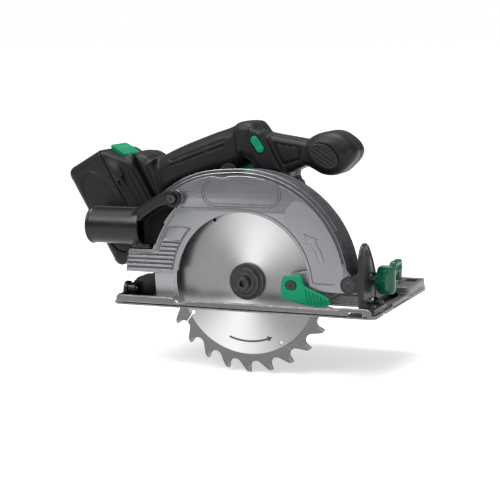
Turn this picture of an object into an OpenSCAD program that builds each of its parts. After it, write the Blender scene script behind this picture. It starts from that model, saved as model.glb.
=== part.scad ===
// Cordless circular saw with a 165 mm blade, drawn with the lower guard swung fully back.
// Origin: centre of the shoe's sole. X is the cutting direction, Z is up, the blade is on the -Y side.

/* [Shoe] */
// Length of the shoe along the cut
shoe_l = 250; // [240:1:260]
// Width of the shoe across the cut
shoe_w = 161; // [158:1:170]
// Thickness of the shoe plate
shoe_t = 3; // [2:0.5:4]

/* [Blade] */
// Radius of the blade over the tips
blade_r = 82.5; // [80:0.5:83]
// Thickness of the blade plate
blade_t = 1.6; // [1.2:0.1:1.8]
// Number of teeth
teeth = 24; // [18:1:40]
// Y position of the blade's middle plane
blade_y = -52.5; // [-53:0.1:-52]

/* [Guards] */
// Outer radius of the upper guard's flat face
guard_r = 98.5; // [97:0.1:99]
// Radius of the round opening in the upper guard's face
open_r = 63; // [60:0.5:64]
// Outer radius of the lower guard
lower_r = 88; // [86:0.1:88.4]
// Angle through which the lower guard sector reaches
lower_sector = 185; // [175:1:188]

/* [Drive] */
// Teeth on the spindle gear
gear_n = 36; // [36:1:36]
// Teeth on the motor pinion
pinion_n = 9; // [9:1:9]
// Gear module
gear_m = 0.8; // [0.8:0.1:0.8]
// Outer radius of the motor housing
motor_r = 34; // [32:0.5:34.5]

/* [Battery] */
// Tilt of the battery from upright, in degrees
batt_tilt = 30; // [28:1:31]
// Length of the battery along its slide
batt_l = 104; // [98:1:106]
// Width of the battery
batt_w = 74; // [68:1:74]

/* [Hidden] */
$fn = 64;
ax = -2.5;            // arbor position in X
az = 22.7;            // arbor height above the sole
hy = -4;              // middle plane of the handle and the battery
pvx = 98;             // depth pivot in X
pvz = 26.9;           // depth pivot in Z
bvz = 10;             // height of the bevel axis, which lies in the blade's plane
gear_cd = gear_m * (gear_n + pinion_n) / 2;
mang = 75;            // direction from the arbor to the motor axis
mx = ax + gear_cd * cos(mang);
mz = az + gear_cd * sin(mang);
arm_r = 157;          // middle radius of the depth arm about the depth pivot

// A round bar along Y
module ycyl(x, z, y0, y1, r) translate([x, y0, z]) rotate([-90, 0, 0]) cylinder(h = y1 - y0, r = r);
// A round bar along X
module xcyl(y, z, x0, x1, r) translate([x0, y, z]) rotate([0, 90, 0]) cylinder(h = x1 - x0, r = r);
// A drawing in the X-Z plane, given depth along Y
module xz(y0, y1) translate([0, y1, 0]) rotate([90, 0, 0]) linear_extrude(y1 - y0) children();
// A drawing in the Y-Z plane, given depth along X
module yz(x0, x1) translate([x0, 0, 0]) rotate([90, 0, 90]) linear_extrude(x1 - x0) children();
// A block between two corners
module blk(x0, x1, y0, y1, z0, z1) translate([x0, y0, z0]) cube([x1 - x0, y1 - y0, z1 - z0]);
// A wedge that covers the angles a0 to a1 out to at least r
function wedge(r, a0, a1, n = 8) = concat([[0, 0]], [for (i = [0:n]) 1.15 * r * [cos(a0 + (a1 - a0) * i / n), sin(a0 + (a1 - a0) * i / n)]]);
// A flat ring sector about the origin
module ring(r0, r1, a0, a1) intersection() {
  difference() { circle(r = r1, $fn = 160); circle(r = r0, $fn = 160); }
  polygon(wedge(r1, a0, a1));
}
// The same about the arbor and about the depth pivot
module aring(r0, r1, a0, a1) translate([ax, az]) ring(r0, r1, a0, a1);
module pring(r0, r1, a0, a1) translate([pvx, pvz]) ring(r0, r1, a0, a1);
// A slot with round ends between two points
module slot2(p, q, r) {
  translate(p) circle(r = r); translate(q) circle(r = r);
  d = q - p; a = atan2(d[1], d[0]);
  translate(p) rotate(a) translate([0, -r + 0.01]) square([norm(d), 2 * r - 0.02]);
}
// A rectangle with round corners
module rrect(x0, x1, y0, y1, r) {
  translate([x0 + r, y0]) square([x1 - x0 - 2 * r, y1 - y0]);
  translate([x0, y0 + r]) square([x1 - x0, y1 - y0 - 2 * r]);
  for (x = [x0 + r, x1 - r], y = [y0 + r, y1 - r]) translate([x, y]) circle(r = r, $fn = 32);
}
// A spur gear outline, teeth cut with straight flanks
module gear2(n, m, a = 0) polygon([for (i = [0:n - 1], k = [0:3])
  let (pr = n * m / 2, t = 360 / n, r = (k == 0 || k == 3) ? pr - 1.15 * m : pr + 0.95 * m,
       o = [-0.31, -0.13, 0.13, 0.31][k] * t)
  r * [cos(a + i * t + o), sin(a + i * t + o)]]);

// ---------------------------------------------------------------- shoe
slot_x0 = -92; slot_x1 = 104; slot_y0 = -77.8; slot_y1 = -27.5;
module shoe_plate() color([0.62, 0.63, 0.65]) difference() {
  union() {
    linear_extrude(shoe_t) rrect(-shoe_l / 2, shoe_l / 2, -shoe_w / 2, shoe_w / 2, 7);
    // rim on the blade side, high at the rear and the front corner
    blk(-119, -63, -shoe_w / 2, slot_y0, 0, 8.4);
    blk(-63, 92, -shoe_w / 2, slot_y0, 0, 6.9);
    blk(92, 119, -shoe_w / 2, slot_y0, 0, 8.8);
    // rims at the rear, the far side and the front
    blk(-shoe_l / 2, -shoe_l / 2 + 3, -33, 74, 0, 7.5);
    blk(-119, -40, shoe_w / 2 - 3, shoe_w / 2, 0, 7.5);
    blk(-40, 45, shoe_w / 2 - 3, shoe_w / 2, 0, 4.6);
    blk(45, 119, shoe_w / 2 - 3, shoe_w / 2, 0, 7.5);
    blk(shoe_l / 2 - 3, shoe_l / 2, -30, 20, 0, 6);
    // fence clamp pads at the front and ribs across the plate
    blk(92, 124, 22, 76, 0, 11.5);
    blk(70, 92, 30, 62, 0, 8);
    blk(-110, -76, 24, 60, 0, 8);
    for (x = [-60, -22, 24, 60]) blk(x, x + 3, -24, 77.6, 0, 5.4);
    blk(-122, 90, 10, 13, 0, 4.6);
    blk(95, 106, -28, 20, 0, 7);
  }
  blk(slot_x0, slot_x1, slot_y0, slot_y1, -1, shoe_t + 20);
  // fence bar slot, right across the shoe at the front
  blk(100.5, 113.5, -90, 90, 1.2, 5.4);
  // window in the fence clamp pad
  blk(109, 120, 54, 72, 5.4, 12);
  translate([fnx, fny, 5]) cylinder(h = 20, r = 3.06);
  // sighting notch in the front edge
  linear_extrude(12) polygon([[126, -56.5], [126, -48.5], [119, -51], [119, -54]]);
  // bolt holes of the quadrant and of the rear bracket
  ycylz(117.5, -69, 2.6); ycylz(117.5, -46.5, 2.6);
  ycylz(-112, -66, 2.2); ycylz(-112, -38.5, 2.2);
}
module ycylz(x, y, r) translate([x, y, -1]) cylinder(h = 24, r = r);

quad_pts = concat([[-76.5, 5.8], [-77.4, 30], [-77.2, 48]],
  [for (a = [150:-15:15]) [-58.5, 43] + 20.5 * [cos(a), sin(a)]],
  [[-36.5, 30], [-38, 5.8]]);
bolt_y = -41; bolt_z = 28.5;
bolt_rr = norm([bolt_y - blade_y, bolt_z - bvz]);
bolt_a = atan2(bolt_z - bvz, bolt_y - blade_y);
module bevel_quadrant() color([0.08, 0.08, 0.09]) difference() {
  union() {
    yz(109, 112) polygon(quad_pts);
    blk(109, 123, -77, -38, 5.8, 8.4);
    blk(114, 123, -77, -38, shoe_t, 6);
    yz(112, 113) difference() { polygon(quad_pts); translate([blade_y, bvz]) circle(r = 44); }
    blk(112, 119, -77, -74, 6, 16);
    blk(112, 119, -41, -38, 6, 13);
  }
  // arc slot for the bevel bolt
  translate([0, blade_y, bvz]) yz(108, 115) {
    ring(bolt_rr - 3.3, bolt_rr + 3.3, bolt_a, bolt_a + 46);
    translate(bolt_rr * [cos(bolt_a), sin(bolt_a)]) circle(r = 3.3);
    translate(bolt_rr * [cos(bolt_a + 46), sin(bolt_a + 46)]) circle(r = 3.3);
  }
  xcyl(blade_y, bvz, 108, 114, 2.5); xcyl(blade_y, bvz, 112.3, 115, 4.3);
  ycylz(117.5, -69, 2.6); ycylz(117.5, -46.5, 2.6);
}
module quadrant_screws() color([0.3, 0.3, 0.31]) for (y = [-69, -46.5]) {
  translate([117.5, y, 0.6]) cylinder(h = 8, r = 2.5);
  difference() { translate([117.5, y, 8.4]) cylinder(h = 2.4, r = 4.2); translate([117.5, y, 9.4]) cylinder(h = 3, r = 2, $fn = 6); }
}
module rear_pivot_bracket() color([0.08, 0.08, 0.09]) difference() {
  union() {
    blk(-124.5, -121.2, -60, -45, shoe_t, bvz);
    xcyl(blade_y, bvz, -124.5, -121.2, 6.9);
    blk(-121.6, -104, -70, -61, shoe_t, shoe_t + 2.5);
    blk(-121.6, -104, -42.5, -34.5, shoe_t, shoe_t + 2.5);
    blk(-124.5, -121.2, -70, -34.5, shoe_t, shoe_t + 4.5);
  }
  xcyl(blade_y, bvz, -126, -120, 3);
  ycylz(-112, -66, 2.2); ycylz(-112, -38.5, 2.2);
}
module bevel_pins() color([0.7, 0.7, 0.72]) {
  xcyl(blade_y, bvz, 104.9, 112.6, 2.5); xcyl(blade_y, bvz, 112.6, 113.8, 4);
  xcyl(blade_y, bvz, -124.5, -113, 3); xcyl(blade_y, bvz, -125, -124.5, 4.5);
}

// ---------------------------------------------------------------- tilting frame
module front_tilt_bracket() color([0.1, 0.1, 0.11]) difference() {
  union() {
    yz(105.6, 108) polygon([[-70.4, 21], [-57, 6.4], [-40, 6.4], [-28, 12], [-28, 36], [-34, 42], [-60, 42], [-70.4, 36]]);
    xcyl(blade_y, bvz, 105.2, 108.4, 4.2);
    // ears either side of the upper guard's pivot boss
    for (y = [[-70.4, -67.2], [-33, -28.6]]) { ycyl(pvx, pvz, y[0], y[1], 7.6); blk(pvx, 106, y[0], y[1], pvz - (y[0] < -50 ? 5.8 : 12), pvz + 7.6); }
  }
  ycyl(pvx, pvz, -73, -28, 4);
  ycyl(pvx, pvz, -73, -68.8, 5.6);
  xcyl(blade_y, bvz, 104, 110, 2.55);
  xcyl(bolt_y, bolt_z, 104, 110, 3.05);
}
module depth_pivot_bolt() color([0.12, 0.12, 0.13]) difference() {
  union() { ycyl(pvx, pvz, -69.4, -26.5, 4); ycyl(pvx, pvz, -70.3, -68.9, 5.4); ycyl(pvx, pvz, -28.6, -25.4, 6.2); }
  translate([pvx, -69.6, pvz]) rotate([90, 0, 0]) cylinder(h = 2, r = 2.6, $fn = 6);
}
module rear_tilt_bracket() color([0.08, 0.08, 0.09]) difference() {
  union() {
    xz(-48, -44.4) { polygon([[-121, 5.5], [-121, 14], [-115, 20], [-106, 23.4], [-97, 24], [-97, 5.5]]); }
    blk(-101, -97, -48, -29.4, 6, 24);
    xz(-33.6, -29.4) polygon([[-101, 7], [-101, 24], [-68, 25.5], [-60, 25.5], [-48, 20], [-48, 7]]);
    blk(-120.9, -117, -56.4, -44.4, 5, 12);
    xcyl(blade_y, bvz, -120.9, -114, 5.4);
  }
  xcyl(blade_y, bvz, -122, -112, 3.05);
  ycyl(-60, 12.5, -35, -28, 2.5); ycyl(-68, 15, -35, -28, 2.5);
}
// Arc plate on which the depth lock runs; its middle line is a circle about the depth pivot
module depth_arm() color([0.72, 0.73, 0.75]) xz(-29.3, -27.3) difference() {
  union() {
    pring(arm_r - 8, arm_r + 8, 144.7, 187.5);
    translate([pvx, pvz]) translate(arm_r * [cos(144.7), sin(144.7)]) circle(r = 8);
    translate([-74, 8]) square([26, 12]);
  }
  pring(arm_r - 3.2, arm_r + 3.2, 145.1, 179.5);
  translate([pvx, pvz]) translate(arm_r * [cos(145.1), sin(145.1)]) circle(r = 3.2);
  translate([pvx, pvz]) translate(arm_r * [cos(179.5), sin(179.5)]) circle(r = 3.2);
  translate([-60, 12.5]) circle(r = 2.5); translate([-68, 15]) circle(r = 2.5);
}
module arm_rivets() color([0.6, 0.6, 0.62]) for (p = [[-60, 12.5], [-68, 15]]) {
  ycyl(p[0], p[1], -33.6, -27.3, 2.5); ycyl(p[0], p[1], -34.8, -33.6, 4); ycyl(p[0], p[1], -27.3, -25.9, 4);
}

// ---------------------------------------------------------------- knobs
module bevel_knob() color([0.02, 0.42, 0.26]) difference() {
  union() {
    xcyl(bolt_y, bolt_z, 113.4, 122, 6.2);
    xz(bolt_y - 3.4, bolt_y + 3.4) rrect(114.6, 130.8, bolt_z - 12.6, bolt_z + 12.6, 4);
  }
  xcyl(bolt_y, bolt_z, 113, 120.5, 3);
}
module bevel_bolt() color([0.65, 0.65, 0.67]) {
  xcyl(bolt_y, bolt_z, 104.2, 120.5, 3);
  xcyl(bolt_y, bolt_z, 104.2, 105.3, 4.6);
}
fnx = 104; fny = 48;
module fence_knob() color([0.01, 0.3, 0.19]) difference() {
  union() {
    translate([fnx, fny, 13.6]) cylinder(h = 9, r = 5.6);
    yz(fnx - 3.4, fnx + 3.4) rrect(fny - 12, fny + 12, 16, 32, 4);
  }
  translate([fnx, fny, 13]) cylinder(h = 10, r = 3);
}
module fence_screw() color([0.75, 0.75, 0.77]) translate([fnx, fny, 6]) cylinder(h = 17, r = 3);

// ---------------------------------------------------------------- upper guard
module face2d(o = 0) {
  aring(open_r - o, guard_r, -2.5, 126);
  aring(open_r - o, 90.3, 124, 176.5);
  polygon([[ax, az] + guard_r * [cos(110), sin(110)], [-56, 115.4], [-81, 100], [ax, az] + 84 * [cos(132), sin(132)], [ax, az] + 80 * [cos(108), sin(108)]]);
  polygon([[-113.8, 49.3], [-80, 49.3], [-67, 40], [-67.5, 31.4], [-71, 28.4], [-117.4, 28.4]]);
  polygon([[84, 19.5], [98, 19.5], [98, 34], [90, 45], [80, 40]]);
  translate([pvx, pvz]) circle(r = 5.8);
}
// Space swept by the lower guard and the blade, kept empty
module sweep_space() ycyl(ax, az, -64, -40, 89.2);
module upper_guard() color([0.55, 0.56, 0.58]) difference() {
  union() {
    xz(-66.5, -64) face2d();
    // rim round the top and the front
    difference() {
      union() {
        xz(-66.5, -33.5) aring(95, guard_r, 3, 125);
        xz(-63.6, -61.6) aring(95, 101.3, 29, 112);
        xz(-63.6, -61.6) aring(95, 99, 5, 30);
      }
    }
    // straight rear top wall, rear arc wall and rear box
    xz(-66.5, -42.6) polygon([[ax, az] + guard_r * [cos(111), sin(111)], [-56, 115.4], [-81, 100], [-79, 97.6], [-55, 112], [ax, az] + 95 * [cos(111), sin(111)]]);
    xz(-66.5, -42.6) { aring(89.2, 91.5, 134, 146); aring(89.2, 91.5, 160, 163); }
    xz(-66.5, -42.6) polygon([[-113.8, 49.3], [-92, 49.3], [-90.5, 46.8], [-112, 46.8], [-115, 28.4], [-117.4, 28.4]]);
    xz(-45, -42.6) polygon([[-113.8, 49.3], [-90, 49.3], [-91.4, 28.4], [-117.4, 28.4]]);
    // back plate towards the gear housing
    xz(-40, -36.4) { aring(31, 96.5, 1, 128); aring(31, 86, 126, 178); }
    xz(-45, -36.4) aring(89.6, 96.5, 112, 128);
    // pivot boss at the front
    ycyl(pvx, pvz, -66.5, -47.5, 5.8); ycyl(pvx, pvz, -35.4, -33.8, 5.8);
    xz(-66.5, -33.8) polygon([[88.6, 24], [98, 19.6], [98, 34.2], [93, 44], [89.2, 44]]);
    // lug pad under the dust nozzle's screw
    ycyl(-66, 97, -68.4, -66.5, 7.5);
    // raised arrow and panel frame
    xz(-66.95, -66.5) difference() { rrect(-40.5, 35.5, 91, 114.6, 11.6); rrect(-39.3, 34.3, 92.2, 113.4, 10.5); }
  }
  ycyl(pvx, pvz, -70, -30, 4.05);
  ycyl(-66, 97, -69, -60, 2);
  sweep_space();
  for (p = gs_pts) ycyl(p[0], p[1], -41, -36, 2.1);
}
gs_pts = [[mx - 36, mz + 6], [mx - 20, mz + 33], [mx + 20, mz + 33], [mx + 37, mz + 4]];
nz = 69; ny = -59;
module dust_nozzle() color([0.07, 0.07, 0.08]) difference() {
  union() {
    xcyl(ny, nz, -155, -102, 16.5);
    // lug with the screw, and the web that closes onto the guard
    xz(-74, -68.4) { translate([-66, 97]) circle(r = 7.8); polygon([[-66, 104.8], [-80, 101], [-104, 84], [-104, 74], [-95, 74], [-60.5, 91.5]]); }
    xz(-68.4, -66.8) difference() { polygon([[-66, 104.4], [-80, 101], [-106, 84], [-110, 52], [-112, 50.5], [-60, 50.5], [-60, 90]]); translate([ax, az]) circle(r = 91.7, $fn = 160); }
    xz(-68.4, -43) polygon([[-106, 84], [-104, 86], [-86, 97.6], [-84, 95.4]]);
    xz(-44.5, -43) difference() { polygon([[-84, 95.4], [-106, 84], [-110, 52], [-112, 50.5], [-60, 50.5], [-60, 90]]); translate([ax, az]) circle(r = 91.7, $fn = 160); }
    xz(-68.4, -43) polygon([[-112, 49.8], [-96, 49.8], [-96, 51.4], [-112, 51.4]]);
  }
  xcyl(ny, nz, -156, -106, 14.3);
  xcyl(ny, nz, -106, -103.8, 14.9);
  intersection() { xcyl(ny, nz, -107, -80, 14.3); blk(-107, -80, -66.8, -44.5, 50, 90); }
  ycyl(-66, 97, -75, -68, 2.3);
  ycyl(-66, 97, -68.4, -66, 7.9);
}
module nozzle_screw() color([0.15, 0.15, 0.16]) difference() {
  union() { ycyl(-66, 97, -74, -62, 2); ycyl(-66, 97, -76.2, -74, 4); }
  translate([-66, -75, 97]) rotate([90, 0, 0]) cylinder(h = 3, r = 2, $fn = 6);
}

// ---------------------------------------------------------------- gear housing and motor
module gh_out(g = 0) { translate([ax, az]) circle(r = 18.7 - g); translate([mx, mz]) circle(r = 33 - g); }
module gear_housing() color([0.5, 0.51, 0.53]) difference() {
  union() {
    xz(-36.4, -17) gh_out();
    intersection() {
      xz(-36.4, -33) { translate([mx, mz]) circle(r = 41); }
      blk(-60, 60, -40, -30, 12, 90);
    }
    ycyl(ax, az, -46, -36.4, 20);
  }
  // gear space
  ycyl(ax, az, -34, -16, 16);
  ycyl(mx, mz, -34, -16, 7);
  // spindle bearing seat and shaft hole
  ycyl(ax, az, -45, -33, 15);
  ycyl(ax, az, -47, -33, 10);
  for (p = gs_pts) ycyl(p[0], p[1], -37, -32, 2.1);
  difference() { ycyl(mx, mz, -30, -16, 30.4); ycyl(ax, az, -40, -10, 18.7); ycyl(mx, mz, -40, -10, 9.6); }
  xcyl(-28, az, -32, ax - 10, 2.1);
}
module gear_cover() color([0.45, 0.46, 0.48]) difference() {
  union() { xz(-17, -13) gh_out(0.3); ycyl(ax, az, -20.5, -17, 10.5); ycyl(mx, mz, -13, -9.6, 10.5); }
  ycyl(ax, az, -21, -14.6, 8);
  ycyl(mx, mz, -18, -10, 8);
  ycyl(mx, mz, -20, -8, 5);
}
module gearcase_screws() color([0.3, 0.3, 0.31]) for (p = gs_pts) { ycyl(p[0], p[1], -40, -33, 2.05); ycyl(p[0], p[1], -33, -29.4, 3.2); }
module motor_housing() color([0.08, 0.08, 0.09]) difference() {
  union() {
    ycyl(mx, mz, -17, 62, motor_r);
    for (a = [20:40:340]) translate([mx + 32.6 * cos(a), 0, mz + 32.6 * sin(a)]) rotate([-90, 0, 0]) translate([0, 0, 4]) cylinder(h = 52, r = 2);
  }
  ycyl(mx, mz, -18, -12.9, 33.1);
  ycyl(mx, mz, -13, 63, 31.2);
  difference() { ycyl(ax, az, -18, 0, 18.8); blk(-60, 60, -20, 0, az + 2, 90); }
  // cooling slots
  for (a = [50:12:130]) translate([mx, 0, mz]) rotate([0, -a, 0]) blk(28, 40, -6, 2, -1.6, 1.6);
  for (a = [230:12:310]) translate([mx, 0, mz]) rotate([0, -a, 0]) blk(28, 40, 34, 52, -1.6, 1.6);
}
module motor_cap() color([0.08, 0.08, 0.09]) difference() {
  union() {
    ycyl(mx, mz, 62, 78, motor_r);
    translate([mx, 78, mz]) rotate([-90, 0, 0]) cylinder(h = 8, r1 = motor_r, r2 = motor_r - 9);
  }
  ycyl(mx, mz, 61, 76.01, 31.2);
  translate([mx, 76, mz]) rotate([-90, 0, 0]) cylinder(h = 7.6, r1 = 31, r2 = 23);
  for (a = [0:20:340]) translate([mx, 0, mz]) rotate([0, -a, 0]) blk(28, 40, 65, 74.5, -1.4, 1.4);
  for (x = [-12:6:12]) blk(mx + x - 1.3, mx + x + 1.3, 80, 90, mz - 14, mz + 14);
}
module cap_screws() color([0.3, 0.3, 0.31]) for (a = [45, 135, 225, 315]) {
  p = [mx + 26 * cos(a), mz + 26 * sin(a)];
  ycyl(p[0], p[1], 54, 60, 2); ycyl(p[0], p[1], 60, 62.5, 3.4);
}
module motor_can() color([0.6, 0.61, 0.63]) difference() {
  union() { ycyl(mx, mz, 0, 54, 24); for (a = [45, 135, 225, 315]) ycyl(mx + 26 * cos(a), mz + 26 * sin(a), 50, 54, 4.4); }
  ycyl(mx, mz, 1.6, 55, 22.4);
  ycyl(mx, mz, -10, 3, 8.5);
  for (a = [45, 135, 225, 315]) ycyl(mx + 26 * cos(a), mz + 26 * sin(a), 49, 55, 2.05);
}
module field_magnets() color([0.2, 0.2, 0.22]) xz(6, 40) translate([mx, mz]) { ring(18.4, 22.3, 25, 155); ring(18.4, 22.3, 205, 335); }
module brush_gear() color([0.35, 0.22, 0.12]) {
  difference() { ycyl(mx, mz, 44, 49, 22.3); ycyl(mx, mz, 43, 50, 10.5); }
  for (s = [-1, 1]) blk(mx + (s > 0 ? 7.4 : -20), mx + (s > 0 ? 20 : -7.4), 49, 54, mz - 3.4, mz + 3.4);
}
module bearing(x, z, y0, y1, ri, ro) difference() {
  ycyl(x, z, y0, y1, ro); ycyl(x, z, y0 - 1, y1 + 1, ri);
  translate([x, y0 - 0.1, z]) rotate([-90, 0, 0]) difference() { cylinder(h = 0.6, r = ro - 2); cylinder(h = 0.6, r = ri + 2); }
}
module motor_bearings() color([0.7, 0.7, 0.72]) { bearing(mx, mz, -17, -10, 3.5, 8); bearing(mx, mz, 58, 64, 3.5, 9.4); difference() { ycyl(mx, mz, 54.1, 65.4, 11.4); ycyl(mx, mz, 50, 64, 9.4); ycyl(mx, mz, 50, 70, 5); } }
module spindle_bearings() color([0.7, 0.7, 0.72]) { bearing(ax, az, -45, -36, 7.5, 15); bearing(ax, az, -20, -14.6, 4, 8); }
module guard_spring() color([0.55, 0.55, 0.57]) {
  for (y = [-39.6, -37.9]) translate([ax, y, az]) rotate([90, 0, 0]) rotate_extrude($fn = 96) translate([27.4, 0]) circle(r = 0.8, $fn = 16);
  ycyl(ax, az + 27.4, -39.6, -37.9, 0.8);
  translate([ax + 26, -37.9, az + 8]) rotate([0, 35, 0]) cylinder(h = 2.8, r = 0.8, $fn = 16);
}

// ---------------------------------------------------------------- rotor
module rotor_shaft() color([0.75, 0.75, 0.77]) { ycyl(mx, mz, -33, -22.5, 2.2); ycyl(mx, mz, -22.5, 64, 3.45); ycyl(mx, mz, -9.4, 57.4, 4.2); }
module armature() color([0.55, 0.3, 0.14]) difference() {
  union() { ycyl(mx, mz, 8, 38, 17.6); ycyl(mx, mz, 4.5, 8, 15); ycyl(mx, mz, 38, 42.5, 14); }
  for (a = [0:36:324]) translate([mx, 0, mz]) rotate([0, -a, 0]) blk(12.5, 19, 7.9, 38.1, -0.9, 0.9);
  ycyl(mx, mz, 0, 50, 4.2);
}
module commutator() color([0.72, 0.42, 0.22]) difference() {
  ycyl(mx, mz, 46, 56, 7.2);
  ycyl(mx, mz, 45, 58, 4.2);
}
module cooling_fan() color([0.15, 0.15, 0.16]) difference() {
  union() {
    ycyl(mx, mz, -8.9, -7.4, 29); ycyl(mx, mz, -8.9, -1.6, 8);
    for (a = [0:30:330]) translate([mx, 0, mz]) rotate([0, -a, 0]) blk(14, 28, -7.5, -1.6, -0.7, 0.7);
  }
  ycyl(mx, mz, -10, 0, 4.2);
}
module pinion() color([0.7, 0.7, 0.72]) difference() { translate([mx, 0, mz]) xz(-33, -23) gear2(pinion_n, gear_m, mang + 180 + 180 / pinion_n); ycyl(mx, mz, -34, -22, 2.2); }

// ---------------------------------------------------------------- spindle and blade
module spindle() color([0.7, 0.7, 0.72]) difference() {
  union() {
    ycyl(ax, az, -46.5, -35.9, 7.45); ycyl(ax, az, -35.9, -33.2, 9); ycyl(ax, az, -33.2, -22, 6); ycyl(ax, az, -22, -14.8, 3.96);
    ycyl(ax, az, -57, -46.5, 7.5);
  }
  ycyl(ax, az, -58, -40, 4);
}
module spindle_gear() color([0.6, 0.6, 0.62]) difference() {
  translate([ax, 0, az]) xz(-33.2, -24) gear2(gear_n, gear_m, mang);
  ycyl(ax, az, -34, -20, 6);
  for (a = [30:60:330]) ycyl(ax + 10 * cos(a), az + 10 * sin(a), -27, -20, 1.8);
}
module inner_flange() color([0.12, 0.12, 0.13]) difference() { union() { ycyl(ax, az, -51.7, -47, 16.5); } ycyl(ax, az, -52, -46, 7.5); }
module tooth_cut(k) {
  a = -90 + 360 / teeth * k;
  // gullet between two teeth: steep behind the tip, long slope to the next one
  polygon([for (p = [[1.5, 83.4], [1.44, 80.2], [1.3, 76.6], [1.9, 74.4], [3.6, 72.8], [5.6, 72.4], [7.6, 73.2], [9.8, 76], [12, 79.4], [13.4, 81.4], [14.5, 83.4]]) p[1] * [cos(a + p[0]), sin(a + p[0])]]);
}
module saw_blade() color([0.75, 0.76, 0.78]) difference() {
  translate([ax, 0, az]) xz(blade_y - blade_t / 2, blade_y + blade_t / 2) difference() {
    circle(r = blade_r - 0.5, $fn = 180);
    for (k = [0:teeth - 1]) tooth_cut(k);
    for (k = [0:3]) rotate(30 + 90 * k) { translate([62.6, 0]) circle(r = 1.8); slot2([62.6, 0], [74, 5], 0.5); }
    circle(r = 7.5);
    for (k = [0:teeth - 1]) rotate(-90 + 360 / teeth * k) tip2d();
  }
}
module tip2d() polygon([[76.6, 0], [blade_r, -0.5], [blade_r - 0.2, 2.15], [76.8, 1.74]]);
// Carbide tips, one brazed at the front of each tooth
module carbide_tips() color([0.45, 0.45, 0.47]) translate([ax, 0, az]) xz(blade_y - 1.1, blade_y + 1.1)
  for (k = [0:teeth - 1]) rotate(-90 + 360 / teeth * k) tip2d();
module outer_flange() color([0.08, 0.08, 0.09]) difference() {
  union() { ycyl(ax, az, -57, -53.3, 16.5); ycyl(ax, az, -59.4, -57, 12.4); }
  ycyl(ax, az, -57.01, -52, 7.55);
  ycyl(ax, az, -60, -52, 4.2);
}
module blade_bolt() color([0.1, 0.1, 0.11]) difference() {
  union() { ycyl(ax, az, -60.8, -59.4, 8.6); ycyl(ax, az, -66.4, -60.8, 5.8); ycyl(ax, az, -59.4, -42, 4); }
  translate([ax, -62.6, az]) rotate([90, 0, 0]) cylinder(h = 5, r = 2.8, $fn = 6);
}

// ---------------------------------------------------------------- lower guard
lg_a0 = 8; lg_a1 = lg_a0 + lower_sector;
module lower_guard() color([0.5, 0.51, 0.53]) difference() {
  union() {
    xz(-62.5, -61) { aring(66, lower_r, lg_a0, lg_a1); aring(40, 68, -6, 13); }
    xz(-62.5, -42.6) aring(lower_r - 1.6, lower_r, lg_a0, lg_a1);
    xz(-44, -42.6) { aring(22, lower_r, lg_a0, lg_a1); }
    ycyl(ax, az, -44, -40.6, 24.4);
    ycyl(45.5, 24.4, -67.2, -61, 6);
  }
  ycyl(ax, az, -46, -40, 20.05);
  ycyl(45.5, 24.4, -68, -60, 2.5);
}
module guard_lever() color([0.03, 0.55, 0.36]) difference() {
  xz(-71.2, -67.2) union() {
    polygon([[38.6, 32], [46, 33.4], [54.9, 33.7], [56.4, 27], [58, 23], [80.5, 15.5], [80.5, 10], [73, 7.2], [53, 8.6], [40, 11.4], [36, 14], [36.4, 24]]);
  }
  ycyl(45.5, 24.4, -73, -69.2, 4.6);
  ycyl(45.5, 24.4, -73, -60, 2.5);
  for (x = [60:3.2:76]) xz(-73, -70.6) translate([x, 4]) square([1.4, 20]);
}
module lever_screw() color([0.2, 0.2, 0.21]) difference() {
  union() { ycyl(45.5, 24.4, -69.2, -61.2, 2.5); ycyl(45.5, 24.4, -71, -69.2, 4.2); }
  translate([45.5, -70, 24.4]) rotate([90, 0, 0]) cylinder(h = 3, r = 2, $fn = 6);
}

// ---------------------------------------------------------------- depth lock
dl = [pvx, pvz] + arm_r * [cos(177.5), sin(177.5)];
module depth_lock_bolt() color([0.65, 0.65, 0.67]) { ycyl(dl[0], dl[1], -29.4, -14, 3); ycyl(dl[0], dl[1], -32.4, -29.4, 5.5); }
module depth_lock_lever() color([0.08, 0.08, 0.09]) difference() {
  union() { ycyl(dl[0], dl[1], -27, -16, 8); xz(-22, -16) slot2(dl, dl + [-22, 18], 5.2); }
  ycyl(dl[0], dl[1], -28, -15.6, 3);
}

// ---------------------------------------------------------------- handle
grip_pts = [[-103.8, 84.6], [-131.6, 132.6], [-124, 133.6], [-116, 131], [-110.4, 125.9], [-100, 131.8], [-90, 136.4], [-80, 140.6], [-69.5, 144.6],
  [-59, 148.5], [-49, 152.2], [-39, 155.2], [-32, 158.5], [-28, 161.5], [-24, 162.2], [-10, 162.2], [-6, 160.6], [-1.3, 155.4], [1.6, 152.6],
  [-4, 134], [-13, 128.5], [-20, 121.6], [-30, 118], [-48.6, 113.8], [-72, 106.8], [-88, 100], [-94.6, 94], [-99.4, 88.4]];
hub_pts = [[-28, 161.5], [-24, 162.2], [-10, 162.2], [-6, 160.6], [-1.3, 155.4], [2, 152.6], [4, 152.5], [30, 149.2], [42, 148.6], [42, 124.4], [32.4, 120.4],
  [26, 117.5], [37, 101.4], [37, 62], [24, 44], [-24, 52], [-25, 82], [-17, 100], [-8, 116], [-14, 131], [-26.6, 131]];
knob_pts = [[40, 148.5], [49, 152.2], [57, 154.2], [64, 155.1], [70.7, 154.3], [77.3, 151.2], [86.6, 144.7], [90.6, 139.4], [91.2, 135.9], [90, 131.6], [87.5, 128.7],
  [77.2, 119.6], [70.5, 116.3], [63, 114.8], [54.4, 115.9], [48.7, 118.9], [40, 125.1]];
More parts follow.
